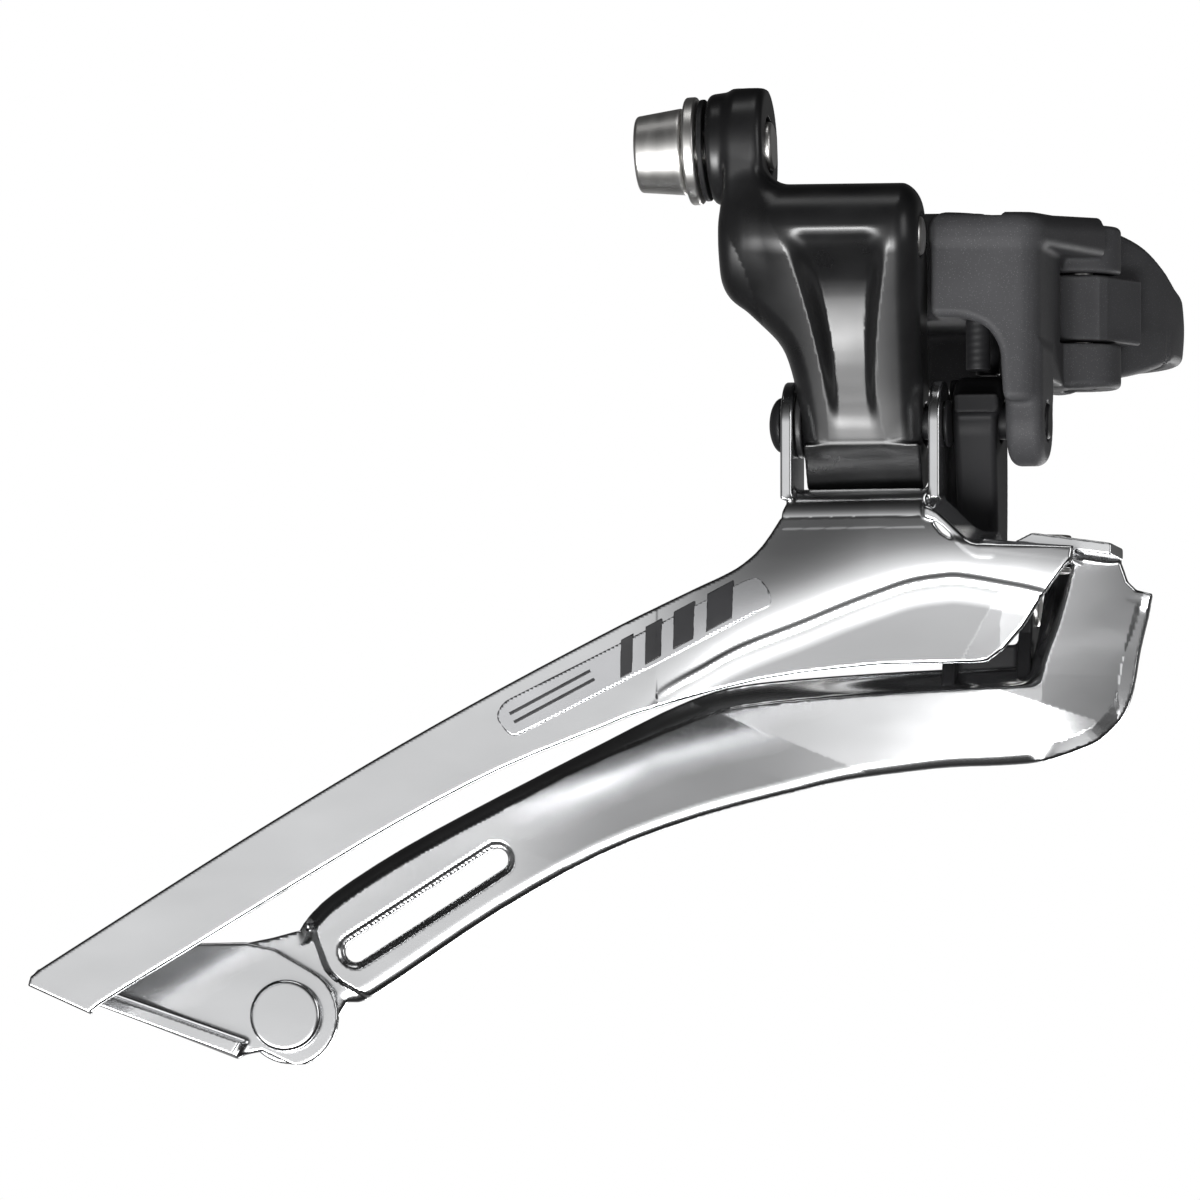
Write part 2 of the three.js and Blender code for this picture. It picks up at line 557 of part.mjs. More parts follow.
add('base_bracket', baseBracket(), 'casting');
add('clamp_band', clampBand(), 'casting');
add('clamp_hinge_pin', hingePin(), 'steel');
add('clamp_bolt', clampBolt(), 'steel');
add('clamp_bolt_washer', clampWasher(), 'steel');
add('clamp_nut', clampNut(), 'steel');
add('outer_link', outerLink(), 'link');
add('upper_link_pin', upperPin(), 'steel');
add('lower_link_pin', lowerPin(), 'black');
add('lower_washer_rear', lowerWasher(-14.85, -14.2), 'nylon');
add('inner_link', innerLink(), 'dark');
add('inner_link_upper_pin', innerUpperPin(), 'black');
add('inner_link_lower_pin', innerLowerPin(), 'steel');
add('cage_outer_plate', outerPlate(), 'plate');
add('cage_inner_plate', innerPlate(), 'plate');
add('link_bracket', linkBracket(), 'black');
BRIDGE_RIVETS.forEach((x, i) => add(`bridge_rivet_${i + 1}`, bridgeRivet(x), 'steel'));
add('tail_rivet', tailRivet(), 'steel');
add('high_limit_screw', limitScrew(-STOP_REACH), 'black');
add('low_limit_screw', limitScrew(STOP_REACH), 'black');
add('screw_lock_plate', screwLockPlate(), 'nylon');
add('cable_anchor_bolt', anchorBolt(), 'steel');
add('cable_anchor_washer', anchorWasher(), 'steel');
add('cable_anchor_plate', anchorPlate(), 'dark');
add('decal_plate', decal(), 'decal');
add('return_spring', returnSpring(), 'steel');

export default derailleur;
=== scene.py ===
"""Front derailleur for a road bicycle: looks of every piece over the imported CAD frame.

Every piece is described by a field: a function of x, y, z in millimetres that is negative
inside the metal. skin() turns a field into a smooth mesh in metres, in the frame's place.
"""
import math

import bpy
import numpy as np
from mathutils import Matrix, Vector

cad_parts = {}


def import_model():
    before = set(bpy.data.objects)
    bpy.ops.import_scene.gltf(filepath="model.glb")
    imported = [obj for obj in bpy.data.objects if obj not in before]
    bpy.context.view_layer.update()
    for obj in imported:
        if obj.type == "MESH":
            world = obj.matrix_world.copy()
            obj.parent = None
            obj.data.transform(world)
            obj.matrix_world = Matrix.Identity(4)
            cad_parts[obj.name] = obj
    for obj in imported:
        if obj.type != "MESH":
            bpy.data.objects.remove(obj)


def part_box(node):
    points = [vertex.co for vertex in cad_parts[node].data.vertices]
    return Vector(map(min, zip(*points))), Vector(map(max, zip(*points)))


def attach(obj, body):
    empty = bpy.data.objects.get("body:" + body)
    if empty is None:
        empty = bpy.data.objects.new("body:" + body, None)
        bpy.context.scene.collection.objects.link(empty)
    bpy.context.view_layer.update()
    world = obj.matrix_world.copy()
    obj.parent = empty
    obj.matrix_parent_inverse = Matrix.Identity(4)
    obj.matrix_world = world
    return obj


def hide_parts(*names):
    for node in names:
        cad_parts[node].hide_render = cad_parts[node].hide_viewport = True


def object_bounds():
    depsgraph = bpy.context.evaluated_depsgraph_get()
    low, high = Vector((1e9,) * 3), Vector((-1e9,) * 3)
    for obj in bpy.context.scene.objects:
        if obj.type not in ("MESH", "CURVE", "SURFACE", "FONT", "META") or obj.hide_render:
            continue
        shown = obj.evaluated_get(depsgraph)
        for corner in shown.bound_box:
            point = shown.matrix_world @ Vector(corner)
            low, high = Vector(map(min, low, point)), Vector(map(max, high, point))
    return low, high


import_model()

CAD_BOX = [list(corner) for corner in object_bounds()]
MM = 0.001
CAD_LOW, CAD_HIGH = np.array(CAD_BOX) / MM
COARSE = 1


# ---------- places read from the frame ----------
def corners(node):
    low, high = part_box(node)
    return np.array(low) / MM, np.array(high) / MM


def pivot(node):
    """The (y, z) of a pin that runs fore and aft."""
    low, high = corners(node)
    return (low[1] + high[1]) / 2, (low[2] + high[2]) / 2


P1 = pivot("upper_link_pin")
P2 = pivot("lower_washer_rear")
P3 = pivot("inner_link_upper_pin")
P4 = pivot("inner_link_lower_pin")


# ---------- field language ----------
def meet(r, first, *others):
    """What lies in all of the fields, with convex edges rounded to radius r."""
    whole = first
    for other in others:
        if r:
            reach = np.hypot(np.maximum(whole + r, 0), np.maximum(other + r, 0))
            whole = np.minimum(np.maximum(whole, other), -r) + reach
        else:
            whole = np.maximum(whole, other)
    return whole


def fuse(r, first, *others):
    """What lies in any of the fields, with the inside corners filled to radius r."""
    return -meet(r, -first, *[-other for other in others])


def carve(r, body, *tools):
    return meet(r, body, *[-tool for tool in tools])


def slab(value, low, high):
    return np.abs(value - (low + high) / 2) - (high - low) / 2


def disc(a, b, centre, radius):
    return np.hypot(a - centre[0], b - centre[1]) - radius


def capsule(y, z, start, r_start, end, r_end):
    """A bar in (y, z) with round ends of different radius."""
    length = math.hypot(end[0] - start[0], end[1] - start[1])
    ey, ez = (end[0] - start[0]) / length, (end[1] - start[1]) / length
    along = (y - start[0]) * ey + (z - start[1]) * ez
    across = np.abs((z - start[1]) * ey - (y - start[0]) * ez)
    lean = (r_start - r_end) / length
    rise = math.sqrt(1 - lean * lean)
    k = along * rise - across * lean
    near = np.hypot(across, along) - r_start
    far = np.hypot(across, along - length) - r_end
    side = across * rise + along * lean - r_start
    return np.where(k < 0, near, np.where(k > rise * length, far, side))


def arc(centre, radius, start, end, steps=14):
    turns = np.radians(np.linspace(start, end, steps))
    return [(centre[0] + radius * math.cos(t), centre[1] + radius * math.sin(t)) for t in turns]


def flowing(points, per_step=6):
    """Catmull-Rom points through an open line of control points."""
    p = np.array(points, float)
    p = np.vstack([2 * p[0] - p[1], p, 2 * p[-1] - p[-2]])
    out = []
    for a, b, c, d in zip(p, p[1:], p[2:], p[3:]):
        for t in np.arange(per_step) / per_step:
            out.append(tuple(b + 0.5 * t * (c - a + t * (2 * a - 5 * b + 4 * c - d
                                                         + t * (3 * (b - c) + d - a)))))
    return out + [tuple(p[-2])]


def eased(points, radius, steps=5):
    """A closed outline whose corners are rounded off by about the radius."""
    p = np.array(points, float)
    out = []
    for before, here, after in zip(np.roll(p, 1, 0), p, np.roll(p, -1, 0)):
        back, on = before - here, after - here
        size_back, size_on = np.linalg.norm(back), np.linalg.norm(on)
        cut = min(radius, 0.45 * size_back, 0.45 * size_on)
        first, last = here + back / size_back * cut, here + on / size_on * cut
        for t in np.linspace(0, 1, steps):
            out.append(tuple((1 - t) ** 2 * first + 2 * t * (1 - t) * here + t * t * last))
    return out


def polygon(points):
    """Signed distance to a closed outline, for any pair of coordinates."""
    p = np.array(points, float)
    q = np.roll(p, -1, axis=0)

    def distance(a, b):
        nearest = np.full(np.broadcast(a, b).shape, 1e9)
        inside = np.zeros(nearest.shape, bool)
        for (pa, pb), (qa, qb) in zip(p, q):
            ea, eb = qa - pa, qb - pb
            da, db = a - pa, b - pb
            t = np.clip((da * ea + db * eb) / (ea * ea + eb * eb + 1e-12), 0, 1)
            nearest = np.minimum(nearest, (da - t * ea) ** 2 + (db - t * eb) ** 2)
            level = (pb > b) != (qb > b)
            inside ^= level & (da * eb < ea * db if eb > 0 else da * eb > ea * db)
        return np.where(inside, -1, 1) * np.sqrt(nearest)

    return distance


def curve(points):
    """A smooth value along one coordinate, through (at, value) pairs."""
    dense = np.array(flowing(points, 10))
    order = np.argsort(dense[:, 0])
    return lambda at: np.interp(at, dense[order, 0], dense[order, 1])


def ease(value, low, high):
    t = np.clip((value - low) / (high - low), 0, 1)
    return t * t * (3 - 2 * t)


def sector(x, y, start, end):
    """The wedge about the seat tube between two angles in degrees."""
    a, b = math.radians(start), math.radians(end)
    first = x * math.sin(a) - y * math.cos(a)
    last = y * math.cos(b) - x * math.sin(b)
    return np.maximum(first, last) if end - start <= 180 else np.minimum(first, last)


# ---------- from field to mesh ----------
def slope_of(field, p, step=0.02):
    x, y, z = p.T
    return np.stack([
        field(x + step, y, z) - field(x - step, y, z),
        field(x, y + step, z) - field(x, y - step, z),
        field(x, y, z + step) - field(x, y, z - step),
    ], axis=1) / (2 * step)


def net(values, origin, pitch):
    """Surface nets: a point in each cell that the surface crosses, and a quad across each edge."""
    solid = values < 0
    shape = np.array(values.shape)
    count = np.zeros(shape - 1, np.int8)
    offsets = [(i & 1, i >> 1 & 1, i >> 2) for i in range(8)]
    for dx, dy, dz in offsets:
        count += solid[dx:shape[0] - 1 + dx, dy:shape[1] - 1 + dy, dz:shape[2] - 1 + dz]
    crossed = (count > 0) & (count < 8)
    cell = np.argwhere(crossed)
    index = np.full(crossed.shape, -1, np.int64)
    index[crossed] = np.arange(len(cell))
    value = [values[tuple((cell + offset).T)] for offset in offsets]
    total, hits = np.zeros((len(cell), 3)), np.zeros(len(cell))
    for i in range(8):
        for axis in range(3):
            if i >> axis & 1:
                continue
            a, b = value[i], value[i | 1 << axis]
            hit = (a < 0) != (b < 0)
            part = np.where(hit, a / np.where(hit, a - b, 1), 0)
            place = np.tile(np.array(offsets[i], float), (len(cell), 1))
            place[:, axis] += part
            total += place * hit[:, None]
            hits += hit
    points = origin + (cell + total / hits[:, None]) * pitch
    quads = []
    for axis in range(3):
        u, v = np.eye(3, dtype=int)[(axis + 1) % 3], np.eye(3, dtype=int)[(axis + 2) % 3]
        lower = np.take(solid, range(shape[axis] - 1), axis)
        upper = np.take(solid, range(1, shape[axis]), axis)
        edge = np.argwhere(lower != upper)
        inner = ((edge - u - v) >= 0).all(1) & (edge < shape - 1).all(1)
        edge = edge[inner]
        ring = np.stack([index[tuple(e.T)] for e in (edge, edge - u, edge - u - v, edge - v)], 1)
        out = lower[tuple(edge.T)]
        quads.append(np.where(out[:, None], ring, ring[:, ::-1]))
    return points, np.concatenate(quads)


def settled(field, points, pitch):
    """The points drawn onto the surface, with its normals there."""
    for _ in range(3):
        slope = slope_of(field, points)
        value = field(*points.T)
        step = value / np.maximum((slope ** 2).sum(1), 0.2)
        points = points - np.clip(step, -pitch, pitch)[:, None] * slope
    slope = slope_of(field, points)
    return points, slope / np.maximum(np.linalg.norm(slope, axis=1), 1e-9)[:, None]


def bend_at(points, quads, normals):
    """How sharply the surface turns at each point, in 1/mm, positive over an edge."""
    turn, count = np.zeros(len(points)), np.zeros(len(points))
    for i in range(4):
        a, b = quads[:, i], quads[:, (i + 1) % 4]
        along = points[b] - points[a]
        bend = ((normals[b] - normals[a]) * along).sum(1) / np.maximum((along ** 2).sum(1), 1e-4)
        for end in (a, b):
            np.add.at(turn, end, bend)
            np.add.at(count, end, 1)
    return turn / np.maximum(count, 1)


def skin(name, node, body, material, field, pitch=0.3, spare=0.0):
    """A piece that stands for a CAD node, meshed from its field inside the node's box.

    spare is how far, in mm, the shape may pass the node's own box inside the whole object's.
    """
    pitch *= COARSE
    low, high = corners(node)
    low, high = np.maximum(low - spare, CAD_LOW), np.minimum(high + spare, CAD_HIGH)
    origin = low - 2 * pitch
    axes = [np.arange(a, b + 2 * pitch, pitch) for a, b in zip(origin, high)]
    grid = np.meshgrid(*axes, indexing="ij", sparse=True)
    values = np.broadcast_to(field(*grid), [len(a) for a in axes])
    points, quads = net(values, origin, pitch)
    points, normals = settled(field, points, pitch)
    points = np.clip(points, low, high)
    mesh = bpy.data.meshes.new(name)
    mesh.from_pydata(points * MM, [], quads)
    mesh.attributes.new("edge", "FLOAT", "POINT").data.foreach_set(
        "value", bend_at(points, quads, normals).astype(np.float32))
    mesh.polygons.foreach_set("use_smooth", np.ones(len(quads), bool))
    mesh.normals_split_custom_set_from_vertices(normals)
    mesh.materials.append(material)
    piece = bpy.data.objects.new(name, mesh)
    bpy.context.scene.collection.objects.link(piece)
    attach(piece, body)
    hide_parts(node)
    return piece


# ---------- materials ----------
def finish(name, colour, metallic, roughness, grain, **options):
    """A metal or paint with mottled colour, uneven gloss, a fine bump and worn edges.

    grain is (size in mm, bump height in mm). Options: colour_spread and rough_spread as shares,
    cloud (size of the mottling in mm), wear (colour, strength), sparkle (size in mm, strength),
    stretch of the grain, bump (strength) and specular.
    """
    material = bpy.data.materials.new(name)
    material.use_nodes = True
    nodes, links = material.node_tree.nodes, material.node_tree.links
    shader = nodes["Principled BSDF"]
    shader.inputs["Metallic"].default_value = metallic
    if "specular" in options:
        shader.inputs["Specular IOR Level"].default_value = options["specular"]
    place = nodes.new("ShaderNodeTexCoord")
    size = nodes.new("ShaderNodeMapping")
    size.inputs["Scale"].default_value = options.get("stretch", (1, 1, 1))
    links.new(place.outputs["Object"], size.inputs["Vector"])

    def noise(width, detail, rough=0.55):
        made = nodes.new("ShaderNodeTexNoise")
        made.inputs["Scale"].default_value = 1 / (width * MM)
        made.inputs["Detail"].default_value = detail
        made.inputs["Roughness"].default_value = rough
        links.new(size.outputs["Vector"], made.inputs["Vector"])
        return made.outputs["Fac"]

    def spread(value, low, high):
        made = nodes.new("ShaderNodeMapRange")
        made.inputs["From Min"].default_value = 0.3
        made.inputs["From Max"].default_value = 0.7
        made.inputs["To Min"].default_value = low
        made.inputs["To Max"].default_value = high
        links.new(value, made.inputs["Value"])
        return made.outputs["Result"]

    cloud = noise(options.get("cloud", 7), 4)
    fine = noise(grain[0], 3, 0.65)
    shift = options.get("colour_spread", 0.1)
    mottle = nodes.new("ShaderNodeMix")
    mottle.data_type = "RGBA"
    mottle.inputs["A"].default_value = [c * (1 - shift) for c in colour] + [1]
    mottle.inputs["B"].default_value = [min(1, c * (1 + shift)) for c in colour] + [1]
    links.new(spread(cloud, 0, 1), mottle.inputs["Factor"])
    shade = mottle.outputs["Result"]
    if "sparkle" in options:
        flake = nodes.new("ShaderNodeTexVoronoi")
        flake.inputs["Scale"].default_value = 1 / (options["sparkle"][0] * MM)
        links.new(size.outputs["Vector"], flake.inputs["Vector"])
        lift = nodes.new("ShaderNodeMapRange")
        lift.inputs["From Min"].default_value = 0.22
        lift.inputs["From Max"].default_value = 0.08
        lift.inputs["To Max"].default_value = options["sparkle"][1]
        links.new(flake.outputs["Distance"], lift.inputs["Value"])
        glint = nodes.new("ShaderNodeMix")
        glint.data_type = "RGBA"
        glint.inputs["B"].default_value = (0.55, 0.55, 0.57, 1)
        links.new(lift.outputs["Result"], glint.inputs["Factor"])
        links.new(shade, glint.inputs["A"])
        shade = glint.outputs["Result"]
    rough = spread(cloud, roughness * (1 - options.get("rough_spread", 0.2)),
                   roughness * (1 + options.get("rough_spread", 0.2)))
    if "wear" in options:
        turn = nodes.new("ShaderNodeAttribute")
        turn.attribute_name = "edge"
        rub = nodes.new("ShaderNodeMapRange")
        rub.inputs["From Min"].default_value = 0.35
        rub.inputs["From Max"].default_value = 1.6
        rub.inputs["To Max"].default_value = options["wear"][1]
        links.new(turn.outputs["Fac"], rub.inputs["Value"])
        patch = nodes.new("ShaderNodeMath")
        patch.operation = "MULTIPLY"
        links.new(rub.outputs["Result"], patch.inputs[0])
        links.new(spread(fine, 0.3, 1), patch.inputs[1])
        worn = nodes.new("ShaderNodeMix")
        worn.data_type = "RGBA"
        worn.inputs["B"].default_value = (*options["wear"][0], 1)
        links.new(patch.outputs["Value"], worn.inputs["Factor"])
        links.new(shade, worn.inputs["A"])
        shade = worn.outputs["Result"]
    links.new(shade, shader.inputs["Base Color"])
    links.new(rough, shader.inputs["Roughness"])
    bump = nodes.new("ShaderNodeBump")
    bump.inputs["Strength"].default_value = options.get("bump", 0.5)
    bump.inputs["Distance"].default_value = grain[1] * MM
    links.new(fine, bump.inputs["Height"])
    links.new(bump.outputs["Normal"], shader.inputs["Normal"])
    return material


GLOSS = finish("gloss_black_paint", (0.009, 0.009, 0.0095), 0, 0.3, (0.5, 0.004),
               rough_spread=0.15, colour_spread=0.3, wear=((0.06, 0.06, 0.06), 0.12))
CASTING = finish("charcoal_coating", (0.05, 0.05, 0.053), 0, 0.58, (0.16, 0.025),
                 specular=0.2, sparkle=(0.22, 0.14), wear=((0.18, 0.18, 0.18), 0.2),
                 rough_spread=0.12, colour_spread=0.12, bump=0.5)
CHROME = finish("polished_cage_steel", (0.72, 0.725, 0.735), 1, 0.2, (0.9, 0.004),
                stretch=(0.35, 1, 1), rough_spread=0.25, colour_spread=0.03, cloud=9, bump=0.35)
STEEL = finish("bright_steel", (0.76, 0.75, 0.73), 1, 0.36, (0.25, 0.008),
               stretch=(4, 0.6, 0.6), rough_spread=0.12, colour_spread=0.05, bump=0.25)
SATIN = finish("dark_satin_paint", (0.012, 0.012, 0.013), 0, 0.5, (0.3, 0.01), specular=0.12,
               wear=((0.06, 0.06, 0.06), 0.3), colour_spread=0.2)
BLACK = finish("black_oxide", (0.012, 0.012, 0.013), 0, 0.5, (0.3, 0.008), specular=0.25,
               colour_spread=0.25)
NYLON = finish("nylon", (0.03, 0.03, 0.031), 0, 0.5, (0.4, 0.01), colour_spread=0.2)
FILM = finish("decal_film", (0.62, 0.625, 0.64), 0.85, 0.2, (0.8, 0.003), colour_spread=0.03)
INK = finish("decal_ink", (0.02, 0.02, 0.022), 0, 0.35, (0.4, 0.003), colour_spread=0.2)

# ---------- outer link ----------
LINK_SIDE = polygon(eased([
    (-20.3, -0.6), (-20.4, 13), (-0.8, 13), (-0.9, 2.5), (-1.25, -5), (-1.55, -24),
    (-13.5, -24), (-13.8, -14.3), (-14.3, -10.2), (-15.2, -7), (-18.4, -3.9), (-19.9, -2.5)], 2))
BOSS_AXIS = (-43.0, 12.9)
BOSS_AT = -20
BOSS_TILT = math.radians(3)
GROOVE_LEFT = curve([(-22, -10.5), (-17, -10.6), (-11, -11), (-5, -12), (1, -13.6),
                     (5.2, -15.5), (9, -17)])
GROOVE_RIGHT = curve([(-22, -4.9), (-16, -5.2), (-11, -5.6), (-5, -5), (1, -3.8),
                      (5.2, -3), (9, -2.5)])
GROOVE_DEPTH = curve([(-22, 0), (-18, 0), (-16, 0.02), (-14.5, 0.15), (-12.5, 0.62),
                      (-10.5, 1.12), (-8.5, 1.6), (-6.5, 1.98), (-4.5, 2.2), (-2.5, 2.28),
                      (-1, 2.18), (0, 1.93), (1, 1.5), (2, 1.12), (3, 0.7), (3.7, 0.3),
                      (4.3, 0.04), (5, 0), (8, 0), (12, 0)])
KNUCKLE_ROOM = polygon(
    arc(P1, 3.6, 75, 270, 24) + [(P1[0] + 6, P1[1] - 7.4), (-30, -8), (-30, 8.6),
                                 (P1[0] + 1, P1[1] + 5)])
LINK_HOLLOW = polygon([(-43.8, 0), (-42, -9), (-30, -9), (-30, 0)])


def above_boss(x, z):
    """Height over the cable bolt's axis, square to it."""
    return (z - BOSS_AXIS[1]) * math.cos(BOSS_TILT) - (x - BOSS_AT) * math.sin(BOSS_TILT)


def on_boss(x, y, z):
    """Station along the cable bolt's axis, and distance from it."""
    along = (x - BOSS_AT) * math.cos(BOSS_TILT) + (z - BOSS_AXIS[1]) * math.sin(BOSS_TILT)
    return along + BOSS_AT, np.hypot(y - BOSS_AXIS[0], above_boss(x, z))


def outer_link(x, y, z):
    left, right = GROOVE_LEFT(z), GROOVE_RIGHT(z)
    across = np.clip((x - left) / (right - left), 0, 1)
    groove = GROOVE_DEPTH(z) * ease(np.minimum(across, 1 - across), 0, 0.25)
    flank = np.clip(np.maximum(left - x, x - right), 0, 5)
    crown = 0.16 * flank + 0.035 * flank ** 2
    bar = capsule(y, z, P1, 5.3, P2, 4) + (groove + crown) * ease(-y, 40, 43)
    shell = meet(2.1, bar, LINK_SIDE(x, z))
    station, radius = on_boss(x, y, z)
    boss = meet(0.7, radius - 5.7 - 0.08 * (station - BOSS_AT), slab(station, -22.5, -16.75))
    rise = (x - BOSS_AT) * math.tan(BOSS_TILT)
    neck = capsule(y, z - rise, (-43.6, 3.7), 5.2, BOSS_AXIS, 6.1)
    arm = meet(1, neck, slab(x, -20.6, -16.85))
    whole = fuse(2.4, shell, fuse(0.5, boss, arm))
    # The lower barrel stands out behind the front wall as a skirt about the cage's pin.
    slope = -0.853 * (y + 42.5) - 0.523 * (z + 16.4)
    skirt = meet(0.3, disc(y, z, P2, 6.55), slab(x, -13.4, -1.7), slope, z + 16.7)
    whole = fuse(0.4, whole, skirt)
    room = meet(0.3, KNUCKLE_ROOM(y, z), slab(x, -17.6, -3.4))
    hollow = meet(0.3, LINK_HOLLOW(y, z), slab(x, -13.6, -3.8))
    bolt_hole = meet(0, radius - 2.9, slab(station, -30, -10))
    return carve(0.35, whole, room, hollow, bolt_hole, disc(y, z, P1, 2.1), disc(y, z, P2, 2.1))


skin("link_body", "outer_link", "outer_link", GLOSS, outer_link, 0.28, 2.2)

# ---------- base bracket ----------
TUBE_BORE = 16.0
SADDLE_RADIUS = 19.5
BAND_RADIUS = 18.9
CAST_HEIGHT = (-9.7, 6.6)
LUG_HEIGHT = (-6.6, 2.6)
BARREL = (-13.2, -3.9)
SCREW_X = 3.55
SCREW_SIDES = (-3.4, 3.4)
CLAMP_BOLT = (23.6, -2)
HINGE = (10.9, -17.5)
SPLIT = math.radians(115)
ARM_OUTLINE = [(-14.5, -10), (-14.5, -36.6), (-1, -36.6), (-0.6, -42), (8.6, -39.9), (10.2, -38)]
ARM_PLAN = polygon(eased([*ARM_OUTLINE, (10.2, -12)], 0.8))
ROOF_PLAN = polygon(eased([*ARM_OUTLINE, (15.4, -17.6), (13, -12)], 0.8))
ARM_FRONT = polygon(eased([(-16, 12), (-16, -4.1), (2.6, -4.1), (4.9, -5), (6.1, -7),
                           (6.4, -12.4), (10.15, -12.4), (10.15, 12)], 1))
BLOCK_PLAN = polygon([(8, -22.1), (10.9, -21.7), (13, -20), (13, -13), (8, -13)])
PIVOT_WEB = polygon([(P1[0], P1[1] - 3.2), (-35, -3.4), (-35, P1[1] + 1.5),
                     (P1[0], P1[1] + 1.5)])
BEYOND_HINGE = polygon([(0, 0), (17.2, -26.9), (40, -26.9), (40, 0)])
HINGE_SLOT = polygon([(7.7, -24), (20, -24), (20, -8), (7.7, -12.8)])


def split_frame(x, y):
    """Coordinates turned so that the clamp's halves meet at the plane of zero turn."""
    return (x * math.cos(SPLIT) + y * math.sin(SPLIT),
            y * math.cos(SPLIT) - x * math.sin(SPLIT))


def clamp_lug(x, y, z, low, high):
    out, side = split_frame(x, y)
    plan = fuse(0, disc(out, z, CLAMP_BOLT, 4.6),
                meet(0, slab(out, 16.6, CLAMP_BOLT[0]), slab(z, *LUG_HEIGHT)))
    return meet(0.6, plan, slab(side, low, high))


def base_bracket(x, y, z):
    reach = np.hypot(x, y)
    shell = slab(reach, TUBE_BORE, SADDLE_RADIUS)
    saddle = meet(0.5, shell, slab(z, *CAST_HEIGHT), sector(x, y, 205, 302))
    rear = meet(0.5, shell, slab(z, *LUG_HEIGHT), sector(x, y, 117.4, 206))
    lug = clamp_lug(x, y, z, 0.8, 5.6)
    top = (z - 6.15 - 0.055 * (np.clip(y, -42, -19) + 42)) * 0.998
    plan = meet(1.6, ARM_PLAN(x, y), top)
    arm = meet(0.9, plan, ARM_FRONT(x, z))
    arm = carve(0.4, arm, meet(0, z + 9.7, -29.7 - y))
    roof = meet(0.8, meet(1.6, ROOF_PLAN(x, y), top), 3.3 - z)
    ear = fuse(0, disc(y, z, P3, 4.5),
               meet(0, slab(y, P3[0] - 4.5, P3[0] + 4.5), slab(z, P3[1], -6)))
    tab = meet(1.2, ear, slab(x, 6.3, 10.1))
    block = meet(0.4, BLOCK_PLAN(x, y), slab(z, -9.7, 3.4))
    beyond = meet(0, BEYOND_HINGE(x, y), slab(z, -15, 15))
    head = fuse(1, fuse(0.8, arm, roof), saddle, rear, lug)
    head = carve(0, fuse(0.5, head, tab, block), beyond)
    knuckles = meet(0.6, disc(x, y, HINGE, 4.2), slab(z, *CAST_HEIGHT))
    barrel = meet(0.3, disc(y, z, P1, 3.2), slab(x, *BARREL))
    web = meet(0.3, PIVOT_WEB(y, z), slab(x, *BARREL))
    body = fuse(0.5, head, knuckles, fuse(0.5, barrel, web))
    slot = meet(0, HINGE_SLOT(x, y), slab(z, -5.3, 1.9))
    pin = meet(0, disc(x, y, HINGE, 1.55), slab(z, -12, 3))
    pocket = meet(0.4, slab(x, 0.9, 6.2), slab(y, -39.9, -28), slab(z, 2.6, 10))
    screws = [disc(x, y, (SCREW_X, P3[0] + side), 1.6) for side in SCREW_SIDES]
    out, side = split_frame(x, y)
    bolt = meet(0, disc(out, z, CLAMP_BOLT, 3), slab(side, 0, 8))
    body = carve(0.3, body, reach - TUBE_BORE, slot, pocket)
    return carve(0.2, body, pin, disc(y, z, P1, 2.3), bolt, *screws,
                 meet(0, disc(y, z, P3, 1.9), slab(x, 0, 20)))


skin("bracket_casting", "base_bracket", "bracket", CASTING, base_bracket, 0.32, 1.4)

# ---------- clamp band ----------
BAND_TOP = curve([(-75, 6.9), (-58, 6.9), (-47, 6.9), (-41.5, 6.6), (-29, 5.4), (-17, 3.5),
                  (-8, 2), (0, 1.4), (10, 1.1), (25, 1.4), (60, 1.9), (180, 1.9)])
BAND_LOW = curve([(-75, -8.9), (-58, -8.9), (-45, -8.45), (-30, -7.6), (-12, -6.3), (0, -5.9),
                  (180, -5.9)])
TONGUE_HEIGHT = (-5, 1.6)
TONGUE_FILLET = polygon([(8.4, -20.4), (13.2, -20), (14, -19), (16.6, -12.5), (12, -12.6)])


def clamp_band(x, y, z):
    reach = np.hypot(x, y)
    turn = np.degrees(np.arctan2(y, x))
    height = np.maximum(z - BAND_TOP(turn), BAND_LOW(turn) - z)
    shell = slab(reach, TUBE_BORE, BAND_RADIUS)
    band = meet(0.8, shell + 0.02 * np.clip(height + 3.8, 0, 4) ** 2, height)
    band = meet(0.4, band, sector(x, y, -58, 112.6))
    room = disc(x, y, HINGE, 4.7)
    band = carve(0.3, band, room)
    tongue = meet(0.3, disc(x, y, HINGE, 3.1), slab(z, *TONGUE_HEIGHT))
    web = meet(0.3, shell, slab(z, *TONGUE_HEIGHT), sector(x, y, -59, -40))
    fillet = meet(0.3, TONGUE_FILLET(x, y), slab(z, *TONGUE_HEIGHT))
    whole = fuse(0.4, band, fuse(0.3, tongue, web, fillet))
    whole = fuse(1, whole, clamp_lug(x, y, z, -5, -0.8))
    out, side = split_frame(x, y)
    bolt = meet(0, disc(out, z, CLAMP_BOLT, 3), slab(side, -20, 0))
    return carve(0.3, whole, reach - TUBE_BORE, disc(x, y, HINGE, 1.7), bolt)


skin("band_casting", "clamp_band", "band", CASTING, clamp_band, 0.32)


# ---------- clamp bolt, washer, nut and hinge pin ----------
def rod(distance, station, low, high, r=0.2):
    return meet(r, distance, slab(station, low, high))


def hexagon(a, b, centre, flat):
    """Distance to a hexagon by its half width across flats."""
    da, db = np.abs(a - centre[0]), np.abs(b - centre[1])
    return np.maximum(da * math.cos(math.pi / 6) + db * 0.5, db) - flat


